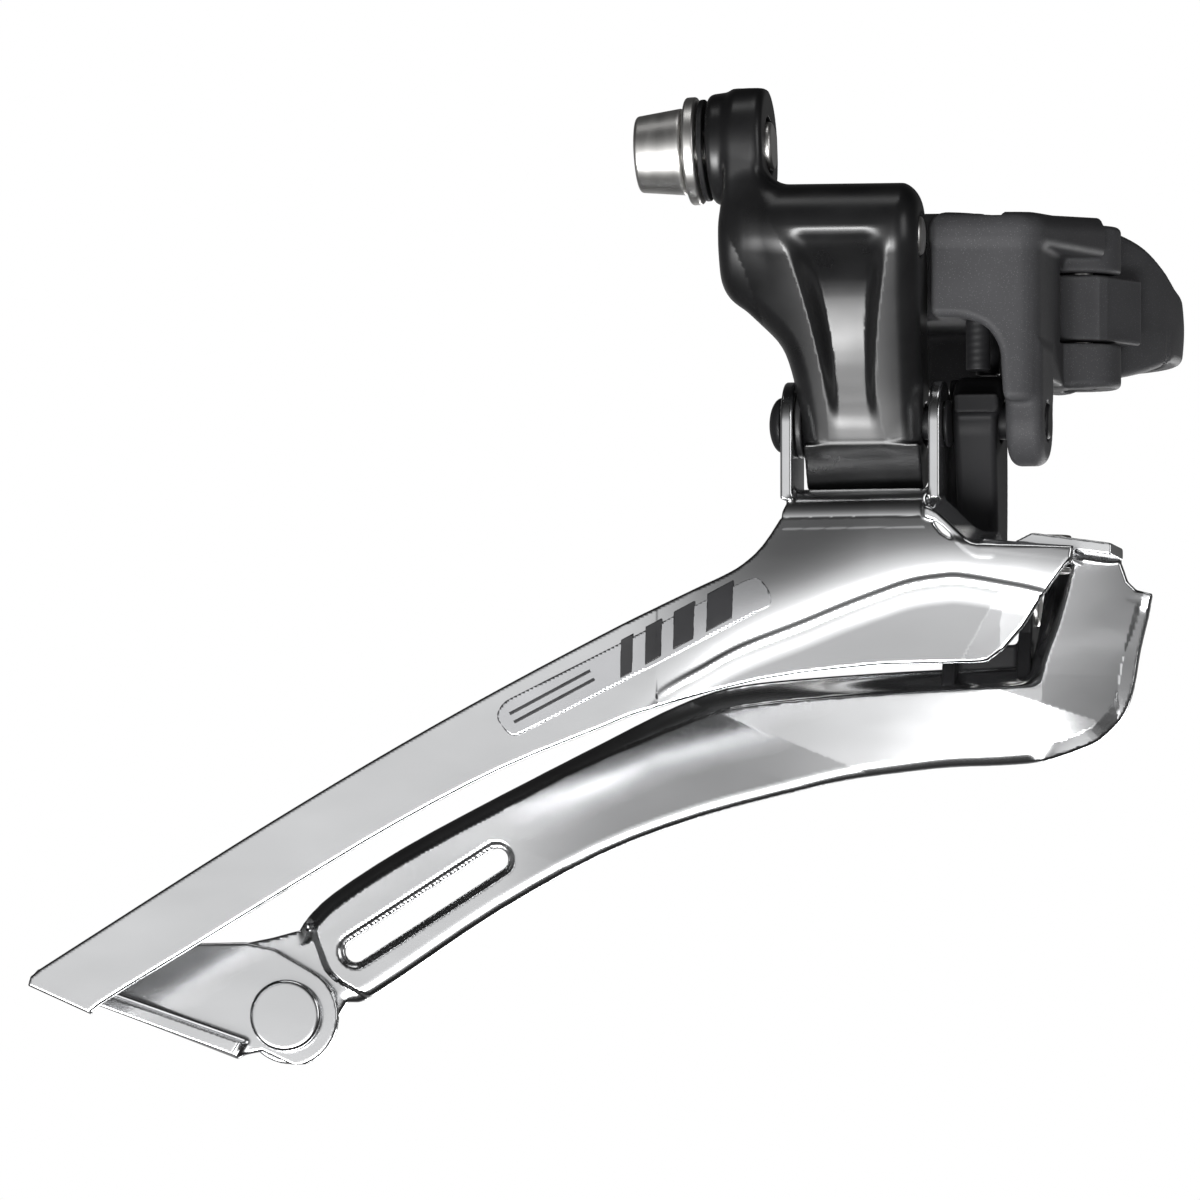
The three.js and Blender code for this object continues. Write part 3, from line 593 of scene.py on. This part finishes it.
def clamp_bolt(x, y, z):
    out, side = split_frame(x, y)
    reach = disc(out, z, CLAMP_BOLT, 0)
    around = np.arctan2(z - CLAMP_BOLT[1], out - CLAMP_BOLT[0])
    thread = 2.3 + 0.12 * np.cos(2 * math.pi * side / 0.8 + around)
    head = rod(reach - 4.1, side, 7.2, 11.8, 0.6)
    socket = meet(0, hexagon(out, z, CLAMP_BOLT, 2), slab(side, 9, 14))
    return carve(0.15, fuse(0.3, head, rod(reach - thread, side, -8.4, 8)), socket)


def clamp_washer(x, y, z):
    out, side = split_frame(x, y)
    reach = disc(out, z, CLAMP_BOLT, 0)
    return carve(0.15, rod(reach - 4.5, side, 5.9, 6.9), reach - 2.7)


def clamp_nut(x, y, z):
    out, side = split_frame(x, y)
    reach = disc(out, z, CLAMP_BOLT, 0)
    body = meet(0.25, hexagon(out, z, CLAMP_BOLT, 3.8), slab(side, -8.9, -5.2),
                reach - 4.25)
    return carve(0.15, body, reach - 3)


def hinge_pin(x, y, z):
    return rod(disc(x, y, HINGE, 1.4), z, -9.4, 2.7, 0.3)


skin("clamp_bolt_shown", "clamp_bolt", "clamp_bolt", STEEL, clamp_bolt, 0.2)
skin("clamp_washer_shown", "clamp_bolt_washer", "clamp_bolt", STEEL, clamp_washer, 0.2)
skin("clamp_nut_shown", "clamp_nut", "band", STEEL, clamp_nut, 0.2)
skin("hinge_pin_shown", "clamp_hinge_pin", "bracket", STEEL, hinge_pin, 0.2)


# ---------- link pins ----------
def upper_pin(x, y, z):
    return rod(disc(y, z, P1, 2), x, -20.8, -0.7, 0.5)


def lower_pin(x, y, z):
    dome = meet(0.15, np.hypot((x + 15.95) / 0.28, np.hypot(y - P2[0], z - P2[1]) / 0.6) - 4.6,
                (x + 15.9) / 0.6) * 0.5
    rivet = rod(disc(y, z, P2, 2.35), x, 0.55, 1, 0.2)
    return fuse(0.1, dome, rivet, rod(disc(y, z, P2, 1.6), x, -16.4, 0.6))


def lower_washer(x, y, z):
    return carve(0.1, rod(disc(y, z, P2, 3.3), x, -14.3, -13.7, 0.15), disc(y, z, P2, 1.9))


def inner_upper_pin(x, y, z):
    return rod(disc(y, z, P3, 1.8), x, 1.1, 10.35, 0.35)


def inner_lower_pin(x, y, z):
    return rod(disc(y, z, P4, 1.8), x, -1.3, 8.4, 0.35)


skin("upper_pin_shown", "upper_link_pin", "outer_link", STEEL, upper_pin, 0.2)
skin("lower_pin_shown", "lower_link_pin", "cage", BLACK, lower_pin, 0.15, 0.6)
skin("pivot_washer", "lower_washer_rear", "outer_link", NYLON, lower_washer, 0.2, 0.6)
skin("inner_upper_pin_shown", "inner_link_upper_pin", "bracket", BLACK,
     inner_upper_pin, 0.2)
skin("inner_lower_pin_shown", "inner_link_lower_pin", "cage", STEEL,
     inner_lower_pin, 0.2)

# ---------- inner link ----------
ROCKER = polygon([(P3[0] - 5.2, P3[1] + 0.6), (P3[0] - 5.2, P3[1] + 2.6),
                  *arc(P3, 4.2, 150, 30), (P3[0] + 5.4, P3[1] + 4.6), (P3[0] + 5.4, P3[1] + 1.6)])


def inner_link(x, y, z):
    taper = 0.055 * np.clip(-10 - z, 0, 30)
    side = capsule(y, z, P3, 4.3, P4, 3.1)
    bar = meet(0.8, side, slab(x, 1, 5.8), x - 5.8 + taper)
    rocker = meet(0.5, ROCKER(y, z), slab(x, 1.3, 5.8))
    # Behind the cage's front ear the link is wider.
    behind = meet(0.5, side, slab(x, 0.1, 3), -34.2 - y, -27 - z)
    whole = fuse(0.4, fuse(0.8, bar, rocker), behind)
    return carve(0.25, whole, disc(y, z, P3, 2.1), disc(y, z, P4, 2.05))


skin("inner_link_body", "inner_link", "inner_link", SATIN, inner_link, 0.25, 1)

# ---------- cage, outer plate ----------
OUTER_Y = -45.0
SHEET = 1.2
OUTER_EDGE = polygon(
    [(-91.45, -70.3), (-91.2, -69.4)]
    + flowing([(-90.2, -68.6), (-74, -58.5), (-63.9, -52.4), (-53.7, -46.5), (-43.6, -41),
               (-33.5, -35.8), (-28.4, -33.3), (-23.4, -30.95), (-21.1, -29.9), (-19.2, -28.8),
               (-17.3, -27), (-15.4, -24), (-14.3, -21.6), (-13.8, -18.5)], 3)
    + [(-0.6, -18.5), (-0.6, -22.6)]
    + flowing([(-0.4, -24), (0.9, -25.9), (3, -26.8), (5, -27.1), (7.7, -27.2)], 3)
    + [(14.1, -27.4), (13.9, -28.6), (11.1, -32.3), (9.05, -35.3), (7, -37.6)]
    + flowing([(5.5, -38.7), (4, -38.9), (-3.1, -39), (-7.2, -39.2), (-17.3, -40.4),
               (-28.9, -43.4), (-33.5, -45.1), (-43.6, -49.1), (-53.7, -54.2), (-63.9, -60.1),
               (-74, -66.15), (-84.1, -72.2), (-84.9, -73.3)], 3))
CREST = curve([(-40, -50), (-29, -43.9), (-27.4, -41.9), (-23.3, -39.6), (-19.3, -37.5),
               (-13.2, -35.2), (-9.2, -33.6), (-5.1, -32.1), (-2.1, -31.15), (1, -30.7),
               (3, -30.7), (7, -31.4), (11.1, -32.3), (20, -35)])
FACET = (5.9, -33.4), (3.1, -38.4)
TOP_BEND = 3
FOLD_Z = -21.2
EAR_RADIUS = 4.3
RIVETS_X = (6.6, 11.2)
RIVETS_Y = -38.6
TAIL = (-67.1, -72.9)


def beyond_line(x, z, line):
    """Distance past a line through two points, positive on its left-hand side."""
    (ax, az), (bx, bz) = line
    ex, ez = bx - ax, bz - az
    return ((z - az) * ex - (x - ax) * ez) / math.hypot(ex, ez)


def outer_face(x, z):
    """The outboard face: dished above the ridge, with a bevel and a flat panel below it."""
    up = z - CREST(x)
    near = ease(x, -33, -14)
    height = np.clip(-22.6 - CREST(x), 6, 10)
    part = np.maximum(up / height, 0)
    dish = height * (0.24 * part - 0.177 * (1 - np.maximum(1 - part, 0) ** 3.5)) * near
    ridge = 0.3 * ease(0.85 - up, 0, 0.8) * ease(x, -33, -20)
    drop = 0.14 * ease(-up, -0.1, 0.5) + 0.24 * ease(-up, 0.3, 2.5) + 0.04 * np.clip(up, -9, 0)
    bevel = drop * ease(x, -29, -25)
    facet = 0.25 * np.clip(np.minimum(beyond_line(x, z, FACET), -0.45 * up), 0, 8)
    return OUTER_Y + 0.3 * near + dish - ridge + bevel + facet


def sheet(x, y, z, face, thick, step=0.02):
    """A pressed sheet between its outboard face and the same face one thickness inboard."""
    here = face(x, z)
    sx = (face(x + step, z) - here) / step
    sz = (face(x, z + step) - here) / step
    return slab(y - here, 0, thick) / np.sqrt(1 + sx * sx + sz * sz)


def bridge_deck(x, z):
    """Height over the bridge, where the two plates are riveted together."""
    return z + 27 + 0.14 * (x - 9)


def rivet_holes(x, y, z):
    return [meet(0, disc(x, y, (at, RIVETS_Y), 1.5), slab(z, -35, -20)) for at in RIVETS_X]


def outer_plate(x, y, z):
    face = sheet(x, y, z, outer_face, SHEET)
    roof = slab(z, FOLD_Z - SHEET, FOLD_Z)
    # The face folds inboard into a shelf under the link, round one bend.
    bend_z = FOLD_Z - TOP_BEND
    bend_y = outer_face(x, bend_z) + TOP_BEND
    turned = slab(np.hypot(y - bend_y, z - bend_z), TOP_BEND - SHEET, TOP_BEND)
    corner = (y < bend_y) & (z > bend_z)
    above = z > bend_z
    wrap = np.where(corner, turned, np.where(above, roof, face))
    under_link = meet(0, slab(x, -15.4, -0.7), -25.5 - z)
    shelf = meet(0.25, wrap, meet(0, under_link, y - P2[0] - 4))
    plate = meet(0.3, face, OUTER_EDGE(x, z), z - (bend_z + 0.1))
    body = fuse(0.05, plate, meet(0.25, shelf, OUTER_EDGE(x, z) - 0.2))
    for rear in (-15.6, -0.7):
        root = meet(0, slab(y, P2[0] - EAR_RADIUS, P2[0] + EAR_RADIUS), slab(z, -22.3, P2[1]))
        lobe = fuse(0, disc(y, z, P2, EAR_RADIUS), root)
        body = fuse(0.6, body, meet(0.3, lobe, slab(x, rear, rear + SHEET)))
    # A twisted flange runs from the front ear down to the plate's upper edge.
    lean = ease(x, -1, 5)
    run = -23 - 4 * lean
    flange = meet(0.3, slab((z - run) - 0.35 * (y + 42.5), -0.5, 0.6), slab(x, -0.9, 6.2),
                  slab(y, -44.9, -39.8))
    bridge = meet(0.15, slab(bridge_deck(x, z), -1.1, -0.1), slab(x, 5, 13.9),
                  slab(y, -44.4, -35.6))
    body = fuse(0.5, body, flange)
    body = fuse(0.9, body, bridge)
    body = fuse(0.7, body, tail_wrap(x, y, z))
    tail = meet(0, disc(x, z, TAIL, 2.1), slab(y, -40, -20))
    pin = meet(0, disc(y, z, P2, 1.9), slab(x, -30, 10))
    return carve(0.15, body, *rivet_holes(x, y, z), tail, pin)


TAIL_TAB = polygon(
    [(-88.8, -69.9), (-80, -66.2), (-75.9, -65.5), (-71.3, -65.45), (-68.4, -66.1)]
    + arc(TAIL, 5.2, 60, -80) + [(-69.6, -76.4), (-72.2, -76.9)])
WRAP_WALL = polygon([(-91.1, -69.9), (-90.5, -68.8), (-71.4, -75.6), (-72.2, -76.9)])


def tail_wrap(x, y, z):
    wall = meet(0.25, WRAP_WALL(x, z), slab(y, OUTER_Y + 1, -32.4))
    wall = carve(0.2, wall, meet(0, slab(x, -86, -60), slab(y, -60, -36.2)))
    tab = meet(0.3, TAIL_TAB(x, z), slab(y, -33.5, -32.3))
    return fuse(0.8, wall, tab)


skin("outer_cage_plate", "cage_outer_plate", "cage", CHROME, outer_plate, 0.21, 0.8)

# ---------- cage, inner plate ----------
INNER_Y = -32.0
INNER_SHEET = 1.0
INNER_EDGE = polygon(
    flowing([(-66.2, -64.2), (-65.4, -62.9), (-62.9, -60.5), (-55.8, -56), (-45.7, -50.7),
             (-35.5, -45.7), (-29.5, -42.7), (-25.4, -41), (-21.4, -40), (-15.3, -39.4),
             (-5.2, -38.8), (5, -38.4), (7.7, -38.1)], 3)
    + [(8.3, -37), (8.8, -34), (9.3, -30.5), (9.7, -26.8), (17.3, -26.9), (17.4, -28.4),
       (18, -30.2), (18.8, -31), (20.4, -31.4)]
    + flowing([(19.95, -33.5), (19.1, -37), (18.6, -40), (18.1, -42), (17.1, -44),
               (15.1, -46), (13.1, -46.95), (11, -47.7), (9, -48.2), (5, -48.45), (-0.1, -48.55),
               (-5.2, -49), (-10.2, -49.6), (-15.3, -50.7), (-25.4, -53.3), (-35.5, -57),
               (-45.7, -62.3), (-55.8, -68.9), (-59.6, -71.2), (-61.4, -71.4)], 3)
    + arc(TAIL, 4.7, -60, -190, 16) + [(-71.5, -65.4), (-68.9, -64.9)])
INNER_TOP = curve([(-72, -66.5), (-66.2, -64.2), (-62.9, -60.5), (-55.8, -56), (-45.7, -50.7),
                   (-35.5, -45.7), (-29.5, -42.7), (-25.4, -41), (-21.4, -40),
                   (-15.3, -39.4), (-5.2, -38.8), (5, -38.4), (20, -38)])
CREASE = (-10.3, -48.3), (-23.7, -42.8)
PAN_END = curve([(-76, -52), (-71.3, -59.2), (-68.8, -63.2), (-66, -64.6), (-63.7, -65.3),
                 (-60, -66), (-20, -66)])
NOSE_OUT = 3
NOSE_FOLD = curve([(-60, 6), (-46, 8), (-39, 8.6), (-34, 10.2), (-28, 11.7), (-20, 13)])
SLOT_ENDS = (-60.4, -66.3), (-46.1, -57.3)


def slot_distance(x, z):
    (ax, az), (bx, bz) = SLOT_ENDS
    ex, ez = bx - ax, bz - az
    t = np.clip(((x - ax) * ex + (z - az) * ez) / (ex * ex + ez * ez), 0, 1)
    return np.hypot(x - ax - t * ex, z - az - t * ez)


def inner_face(x, z):
    """The outboard face: flat facets, edges rolled away inboard, and the nose standing out."""
    ahead = x - NOSE_FOLD(z)
    rise = np.clip(1 + (z + 41.4 + 0.33 * (x - 6.7)) / 16, 0, 1)
    past = np.clip(ahead - 1.2, 0, 7.4)
    turned = 0.25 * past + 0.008 * past ** 2
    deep = -INNER_EDGE(x, z)
    below = INNER_TOP(x) - z
    # The nose steps out at its fold, and the blade comes out to meet it under a ledge.
    ledge = ease(x, -22, 8) * ease(below, 0.4, 2.6)
    step = 1 - (1 - ease(ahead, -1.3, 1.5)) * (1 - ledge)
    nose = (turned - NOSE_OUT) * step * rise
    upper = (1 - ease(ahead, -1.5, 0)) * ease(x, -66.5, -64.5) * ease(below, 6, 4)
    wide = 1.5 + 0.8 * ease(x, -40, -25)
    roll = (np.clip(1 - deep / wide, 0, 1) ** 1.6
            + 0.25 * (1 - ease(deep, wide - 0.3, wide + 0.1))) * upper
    lower = ease(below, 4, 6) * ease(x, -64, -60)
    lip = 0.6 * np.clip(1 - deep / 1.3, 0, 1) ** 2 * lower * (1 - ease(ahead, 0, 2))
    # The nose ends in a flat strip turned back towards the frame.
    strip = 0.35 * np.clip(1.4 - deep, 0, 1.4) * ease(ahead, 1, 3) * ease(-z, 31.5, 33.5)
    end = 0.6 * (1 - ease(x - PAN_END(z), 0, 1))
    press = 0.35 * (1 - ease(slot_distance(x, z), 1.3, 2))
    crease = np.clip(beyond_line(x, z, CREASE), 0, 20)
    facet = -0.1 * crease * ease(x, -46, -30)
    hang = -0.02 * ease(x, -40, -22) * np.clip(-39.5 - z, 0, 20)
    return INNER_Y + nose + roll + (lip + strip) + press + facet + hang + end


def inner_plate(x, y, z):
    face = meet(0.25, sheet(x, y, z, inner_face, INNER_SHEET), INNER_EDGE(x, z))
    seat = meet(0.2, slab(bridge_deck(x, z), 0.05, 1.25), slab(x, 7.4, 17.7),
                slab(y, -42.6, -34.2))
    seat = meet(0.2, seat, z + 27.1 - 0.5 * (x - 7.2))
    slot = slot_distance(x, z) - 1.15
    hole = meet(0, disc(x, z, TAIL, 2.1), slab(y, -50, -20))
    return carve(0.2, fuse(0.8, face, seat), slot, *rivet_holes(x, y, z), hole)


skin("inner_cage_plate", "cage_inner_plate", "cage", CHROME, inner_plate, 0.23, 3)

# ---------- cage fittings ----------
BRACKET_SIDE = polygon([(-33.4, -43), (-33.2, -40.2), (-30.7, -35), (P4[0] - 3.2, P4[1]),
                        *arc(P4, 3.2, 180, 0), (P4[0] + 3.2, -36), (-29.2, -40)])


def link_bracket(x, y, z):
    behind = y - inner_face(x, z) - INNER_SHEET
    width = slab(x, -0.9, 8)
    foot = meet(0.3, width, slab(behind, 0.3, 1.8), slab(z, -46.2, -39))
    web = meet(0.3, width, slab(y, -30.7, -29.2), slab(z, -44, -36.2))
    cheeks = fuse(0, slab(x, -0.9, 0.5), slab(x, 6.6, 8))
    sides = meet(0.3, BRACKET_SIDE(y, z), cheeks)
    return carve(0.15, fuse(0.6, foot, web, sides), disc(y, z, P4, 1.85))


def bridge_rivet(at, top):
    def field(x, y, z):
        reach = disc(x, y, (at, RIVETS_Y), 0)
        return fuse(0.05, rod(reach - 1.2, z, -29.6, top), rod(reach - 1.9, z, top - 0.5, top, 0.2),
                    rod(reach - 1.9, z, -29.7, -29.1, 0.3))
    return field


def tail_rivet(x, y, z):
    reach = disc(x, z, TAIL, 0)
    head = rod(reach - 3.6, y, -34.8, -33.8, 0.5)
    return fuse(0.05, head, rod(reach - 1.8, y, -34.5, -30.1), rod(reach - 3, y, -30.7, -30, 0.3))


skin("inner_link_bracket", "link_bracket", "cage", BLACK, link_bracket, 0.25, 3)
skin("bridge_rivet_rear", "bridge_rivet_1", "cage", STEEL,
     bridge_rivet(RIVETS_X[0], -26.6), 0.15)
skin("bridge_rivet_front", "bridge_rivet_2", "cage", STEEL,
     bridge_rivet(RIVETS_X[1], -25.9), 0.15)
skin("tail_rivet_shown", "tail_rivet", "cage", CHROME, tail_rivet, 0.15)


# ---------- limit screws and their lock plate ----------
def limit_screw(side):
    def field(x, y, z):
        reach = disc(x, y, (SCREW_X, P3[0] + side), 0)
        around = np.arctan2(y - P3[0] - side, x - SCREW_X)
        thread = 1.22 + 0.01 * np.cos(2 * math.pi * z / 0.7 - around)
        head = meet(0.35, reach - 2.1, slab(z, 4.1, 6.3))
        cross = fuse(0, meet(0, slab(x, 2.05, 5.05), slab(y - P3[0] - side, -0.3, 0.3)),
                     meet(0, slab(x, 3.25, 3.85), slab(y - P3[0] - side, -1.5, 1.5)))
        return carve(0.1, fuse(0.2, head, rod(reach - thread, z, -9.2, 4.3)),
                     meet(0, cross, 5.3 - z))
    return field


def lock_plate(x, y, z):
    plate = meet(0.25, slab(x, 1.2, 5.9), slab(y, -39.6, -28.3), slab(z, 2.9, 3.8))
    holes = [disc(x, y, (SCREW_X, P3[0] + side), 1.55) for side in SCREW_SIDES]
    return carve(0.1, plate, *holes)


skin("high_screw", "high_limit_screw", "high_limit_screw", BLACK,
     limit_screw(SCREW_SIDES[0]), 0.15)
skin("low_screw", "low_limit_screw", "low_limit_screw", BLACK,
     limit_screw(SCREW_SIDES[1]), 0.15)
skin("lock_plate", "screw_lock_plate", "bracket", NYLON, lock_plate, 0.2)


# ---------- cable anchor ----------
def anchor_bolt(x, y, z):
    station, radius = on_boss(x, y, z)
    cone = radius - 3.8 - 0.12 * (station + 29.9)
    head = meet(0.35, cone, slab(station, -29.9, -25.1))
    shank = rod(radius - 2.45, station, -26, -16.2, 0.4)
    across_flats = hexagon(y, above_boss(x, z), (BOSS_AXIS[0], 0), 2)
    socket = meet(0, across_flats, slab(station, -32, -27.4))
    return carve(0.15, fuse(0.1, head, shank), socket)


def anchor_washer(x, y, z):
    station, radius = on_boss(x, y, z)
    return carve(0.1, rod(radius - 5.4, station, -24.8, -23.6, 0.3), radius - 2.8)


def anchor_plate(x, y, z):
    station, radius = on_boss(x, y, z)
    return carve(0.1, rod(radius - 5.1, station, -23.35, -22.8, 0.15), radius - 2.8)


skin("cable_bolt", "cable_anchor_bolt", "anchor_bolt", STEEL, anchor_bolt, 0.2)
skin("cable_washer", "cable_anchor_washer", "outer_link", STEEL, anchor_washer, 0.15)
skin("cable_plate", "cable_anchor_plate", "outer_link", SATIN, anchor_plate, 0.15)

# ---------- decal ----------
DECAL = polygon(eased([(-44.1, -43.9), (-43.3, -42.4), (-18.7, -30.4), (-17.4, -30.2),
                       (-16.3, -31.6), (-16.1, -33), (-42.4, -46.1)], 1))
BADGE = (-25.9, -35.4)
BADGE_SLOPE = math.radians(27.5)
BARS = [(-6.2, 1.4), (-3.4, 1.9), (-0.2, 2.4), (3.6, 3)]


def badge_frame(x, z):
    """Coordinates along and across the blade, from the middle of the badge."""
    along = (x - BADGE[0]) * math.cos(BADGE_SLOPE) + (z - BADGE[1]) * math.sin(BADGE_SLOPE)
    across = (z - BADGE[1]) * math.cos(BADGE_SLOPE) - (x - BADGE[0]) * math.sin(BADGE_SLOPE)
    return along, across


def decal(x, y, z):
    return meet(0.04, DECAL(x, z), slab(y - outer_face(x, z), -0.2, 0.25))


def badge(x, y, z):
    """Slanted bars that widen towards the front, with two short rules behind them."""
    along, across = badge_frame(x, z)
    lean = along - 0.55 * across
    bars = [meet(0, slab(lean, at, at + wide), slab(across, -1.7, 1.7)) for at, wide in BARS]
    rules = [meet(0, slab(along, -18.6, -9.4), slab(across, low, low + high))
             for low, high in ((-0.7, 0.35), (0.25, 0.35))]
    return meet(0, fuse(0, *bars, *rules), slab(y - outer_face(x, z), -0.25, 0.2))


skin("decal_film", "decal_plate", "cage", FILM, decal, 0.2, 0.6)
skin("decal_ink", "decal_plate", "cage", INK, badge, 0.12, 0.6)

# ---------- return spring ----------
SPRING = {"r": 3, "wire": 0.42, "rear": -16.9, "front": -13.9, "turns": 2.5, "leg": 1.1}


def return_spring():
    """A round wire: a straight leg, the coil about the upper pin, and a second leg."""
    r, leg = SPRING["r"], SPRING["leg"]
    sweep = SPRING["turns"] * 2 * math.pi
    line = []
    for along in np.linspace(-leg, sweep * r + leg, 120):
        wound = min(max(along / r, 0), sweep)
        rest = along - wound * r
        turn = math.pi / 2 + wound
        line.append((SPRING["rear"] + (SPRING["front"] - SPRING["rear"]) * wound / sweep,
                     P1[0] + r * math.cos(turn) - rest * math.sin(turn),
                     P1[1] + r * math.sin(turn) + rest * math.cos(turn)))
    data = bpy.data.curves.new("return_spring_wire", "CURVE")
    data.dimensions = "3D"
    data.bevel_depth = (SPRING["wire"] - 0.02) * MM
    data.bevel_resolution = 4
    data.use_fill_caps = True
    spline = data.splines.new("POLY")
    spline.points.add(len(line) - 1)
    for point, place in zip(spline.points, line):
        point.co = (*[v * MM for v in place], 1)
    data.materials.append(STEEL)
    wire = bpy.data.objects.new("return_spring_wire", data)
    bpy.context.scene.collection.objects.link(wire)
    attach(wire, "bracket")
    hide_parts("return_spring")


return_spring()


# ---------- studio ----------
# Grey levels against a direction's share of each axis, from 0 (towards -1) to 1 (towards +1).
DEPTH_LIGHT = [(0, 1), (0.025, 0.9), (0.07, 0.68), (0.14, 0.36), (0.25, 0.14), (0.5, 0.1),
               (0.75, 0.18), (0.9, 0.34), (0.965, 0.34), (0.985, 0.16), (1, 0.12)]
HEIGHT_LIGHT = [(0, 0.22), (0.12, 0.32), (0.22, 0.6), (0.32, 0.95), (0.48, 0.95), (0.56, 0.74),
                (0.64, 0.4), (0.75, 0.17), (1, 0.08)]
WIDTH_LIGHT = [(0, 1), (0.53, 1), (0.62, 0.72), (0.72, 0.42), (0.85, 0.3), (1, 0.3)]
# A soft-edged window of light, low in front: how it fades over height, over width and behind.
WINDOW_HEIGHT = [(0.14, 0), (0.21, 1), (0.27, 1), (0.36, 0)]
WINDOW_WIDTH = [(0.12, 0), (0.3, 0.6), (0.38, 1), (0.55, 1), (0.82, 0)]
WINDOW_DEPTH = [(0.3, 1), (0.45, 0)]
WINDOW_POWER = 60


def world():
    """White to the camera; reflections are bright low in front, and dark beside and above."""
    made = bpy.data.worlds.new("studio")
    bpy.context.scene.world = made
    made.use_nodes = True
    nodes, links = made.node_tree.nodes, made.node_tree.links
    nodes.clear()
    output = nodes.new("ShaderNodeOutputWorld")
    place = nodes.new("ShaderNodeTexCoord")
    split = nodes.new("ShaderNodeSeparateXYZ")
    links.new(place.outputs["Generated"], split.inputs["Vector"])

    def falloff(source, stops):
        ramp = nodes.new("ShaderNodeValToRGB")
        while len(ramp.color_ramp.elements) < len(stops):
            ramp.color_ramp.elements.new(0.5)
        for element, (at, grey) in zip(ramp.color_ramp.elements, stops):
            element.position = at
            element.color = (grey, grey, grey, 1)
        links.new(source, ramp.inputs["Fac"])
        return ramp.outputs["Color"]

    def product(first, second):
        both = nodes.new("ShaderNodeMix")
        both.data_type = "RGBA"
        both.blend_type = "MULTIPLY"
        both.inputs["Factor"].default_value = 1
        links.new(first, both.inputs["A"])
        links.new(second, both.inputs["B"])
        return both.outputs["Result"]

    def share(axis):
        made = nodes.new("ShaderNodeMapRange")
        made.inputs["From Min"].default_value = -1
        links.new(split.outputs[axis], made.inputs["Value"])
        return made.outputs["Result"]

    light = nodes.new("ShaderNodeBackground")
    around = product(falloff(share("Y"), DEPTH_LIGHT), falloff(share("X"), WIDTH_LIGHT))
    links.new(product(around, falloff(share("Z"), HEIGHT_LIGHT)), light.inputs["Color"])
    window = product(product(falloff(share("Z"), WINDOW_HEIGHT), falloff(share("X"), WINDOW_WIDTH)),
                     falloff(share("Y"), WINDOW_DEPTH))
    power = nodes.new("ShaderNodeMapRange")
    power.inputs["To Min"].default_value = 1
    power.inputs["To Max"].default_value = WINDOW_POWER
    links.new(window, power.inputs["Value"])
    links.new(power.outputs["Result"], light.inputs["Strength"])
    seen = nodes.new("ShaderNodeBackground")
    seen.inputs["Color"].default_value = (1, 1, 1, 1)
    path = nodes.new("ShaderNodeLightPath")
    mix = nodes.new("ShaderNodeMixShader")
    links.new(path.outputs["Is Camera Ray"], mix.inputs["Fac"])
    links.new(light.outputs["Background"], mix.inputs[1])
    links.new(seen.outputs["Background"], mix.inputs[2])
    links.new(mix.outputs["Shader"], output.inputs["Surface"])


def softbox(name, place, aim, size, power):
    data = bpy.data.lights.new(name, "AREA")
    data.shape = "RECTANGLE"
    data.size, data.size_y = size
    data.energy = power
    lamp = bpy.data.objects.new(name, data)
    lamp.location = place
    lamp.rotation_mode = "QUATERNION"
    lamp.rotation_quaternion = (Vector(aim) - Vector(place)).to_track_quat("-Z", "Y")
    lamp.visible_camera = False
    bpy.context.scene.collection.objects.link(lamp)


def floor():
    bpy.ops.mesh.primitive_circle_add(vertices=96, radius=0.8, fill_type="NGON",
                                      location=(-0.03, -0.05, -0.5))
    ground = bpy.context.object
    ground.name = "floor"
    ground.visible_glossy = False
    ground.data.materials.append(finish("floor_paper", (0.86, 0.86, 0.86), 0, 0.8, (2, 0.05),
                                        colour_spread=0.01))


# The camera looks at CENTRE from far away, from a little below and a little to the front.
CENTRE = Vector((-0.0346, -0.038, -0.0318))
AZIMUTH, ELEVATION = math.radians(9), math.radians(-4)
LENS, FRAME_WIDTH, SENSOR = 1000, 0.12, 36


def camera():
    data = bpy.data.cameras.new("camera")
    data.lens = LENS
    data.sensor_width = SENSOR
    data.clip_end = 100
    eye = bpy.data.objects.new("camera", data)
    back = Vector((math.sin(AZIMUTH) * math.cos(ELEVATION),
                   -math.cos(AZIMUTH) * math.cos(ELEVATION), math.sin(ELEVATION)))
    eye.location = CENTRE + back * FRAME_WIDTH * LENS / SENSOR
    eye.rotation_mode = "QUATERNION"
    eye.rotation_quaternion = (-back).to_track_quat("-Z", "Y")
    bpy.context.scene.collection.objects.link(eye)
    bpy.context.scene.camera = eye


world()
softbox("top_light", (-0.03, -0.16, 0.75), CENTRE, (0.5, 0.2), 0.6)
softbox("side_light", (0.7, -0.35, 0.15), CENTRE, (0.3, 0.5), 1)
softbox("back_light", (0.2, 0.7, -0.3), CENTRE, (0.5, 0.3), 3)
floor()
camera()
bpy.context.scene.view_settings.view_transform = "Standard"
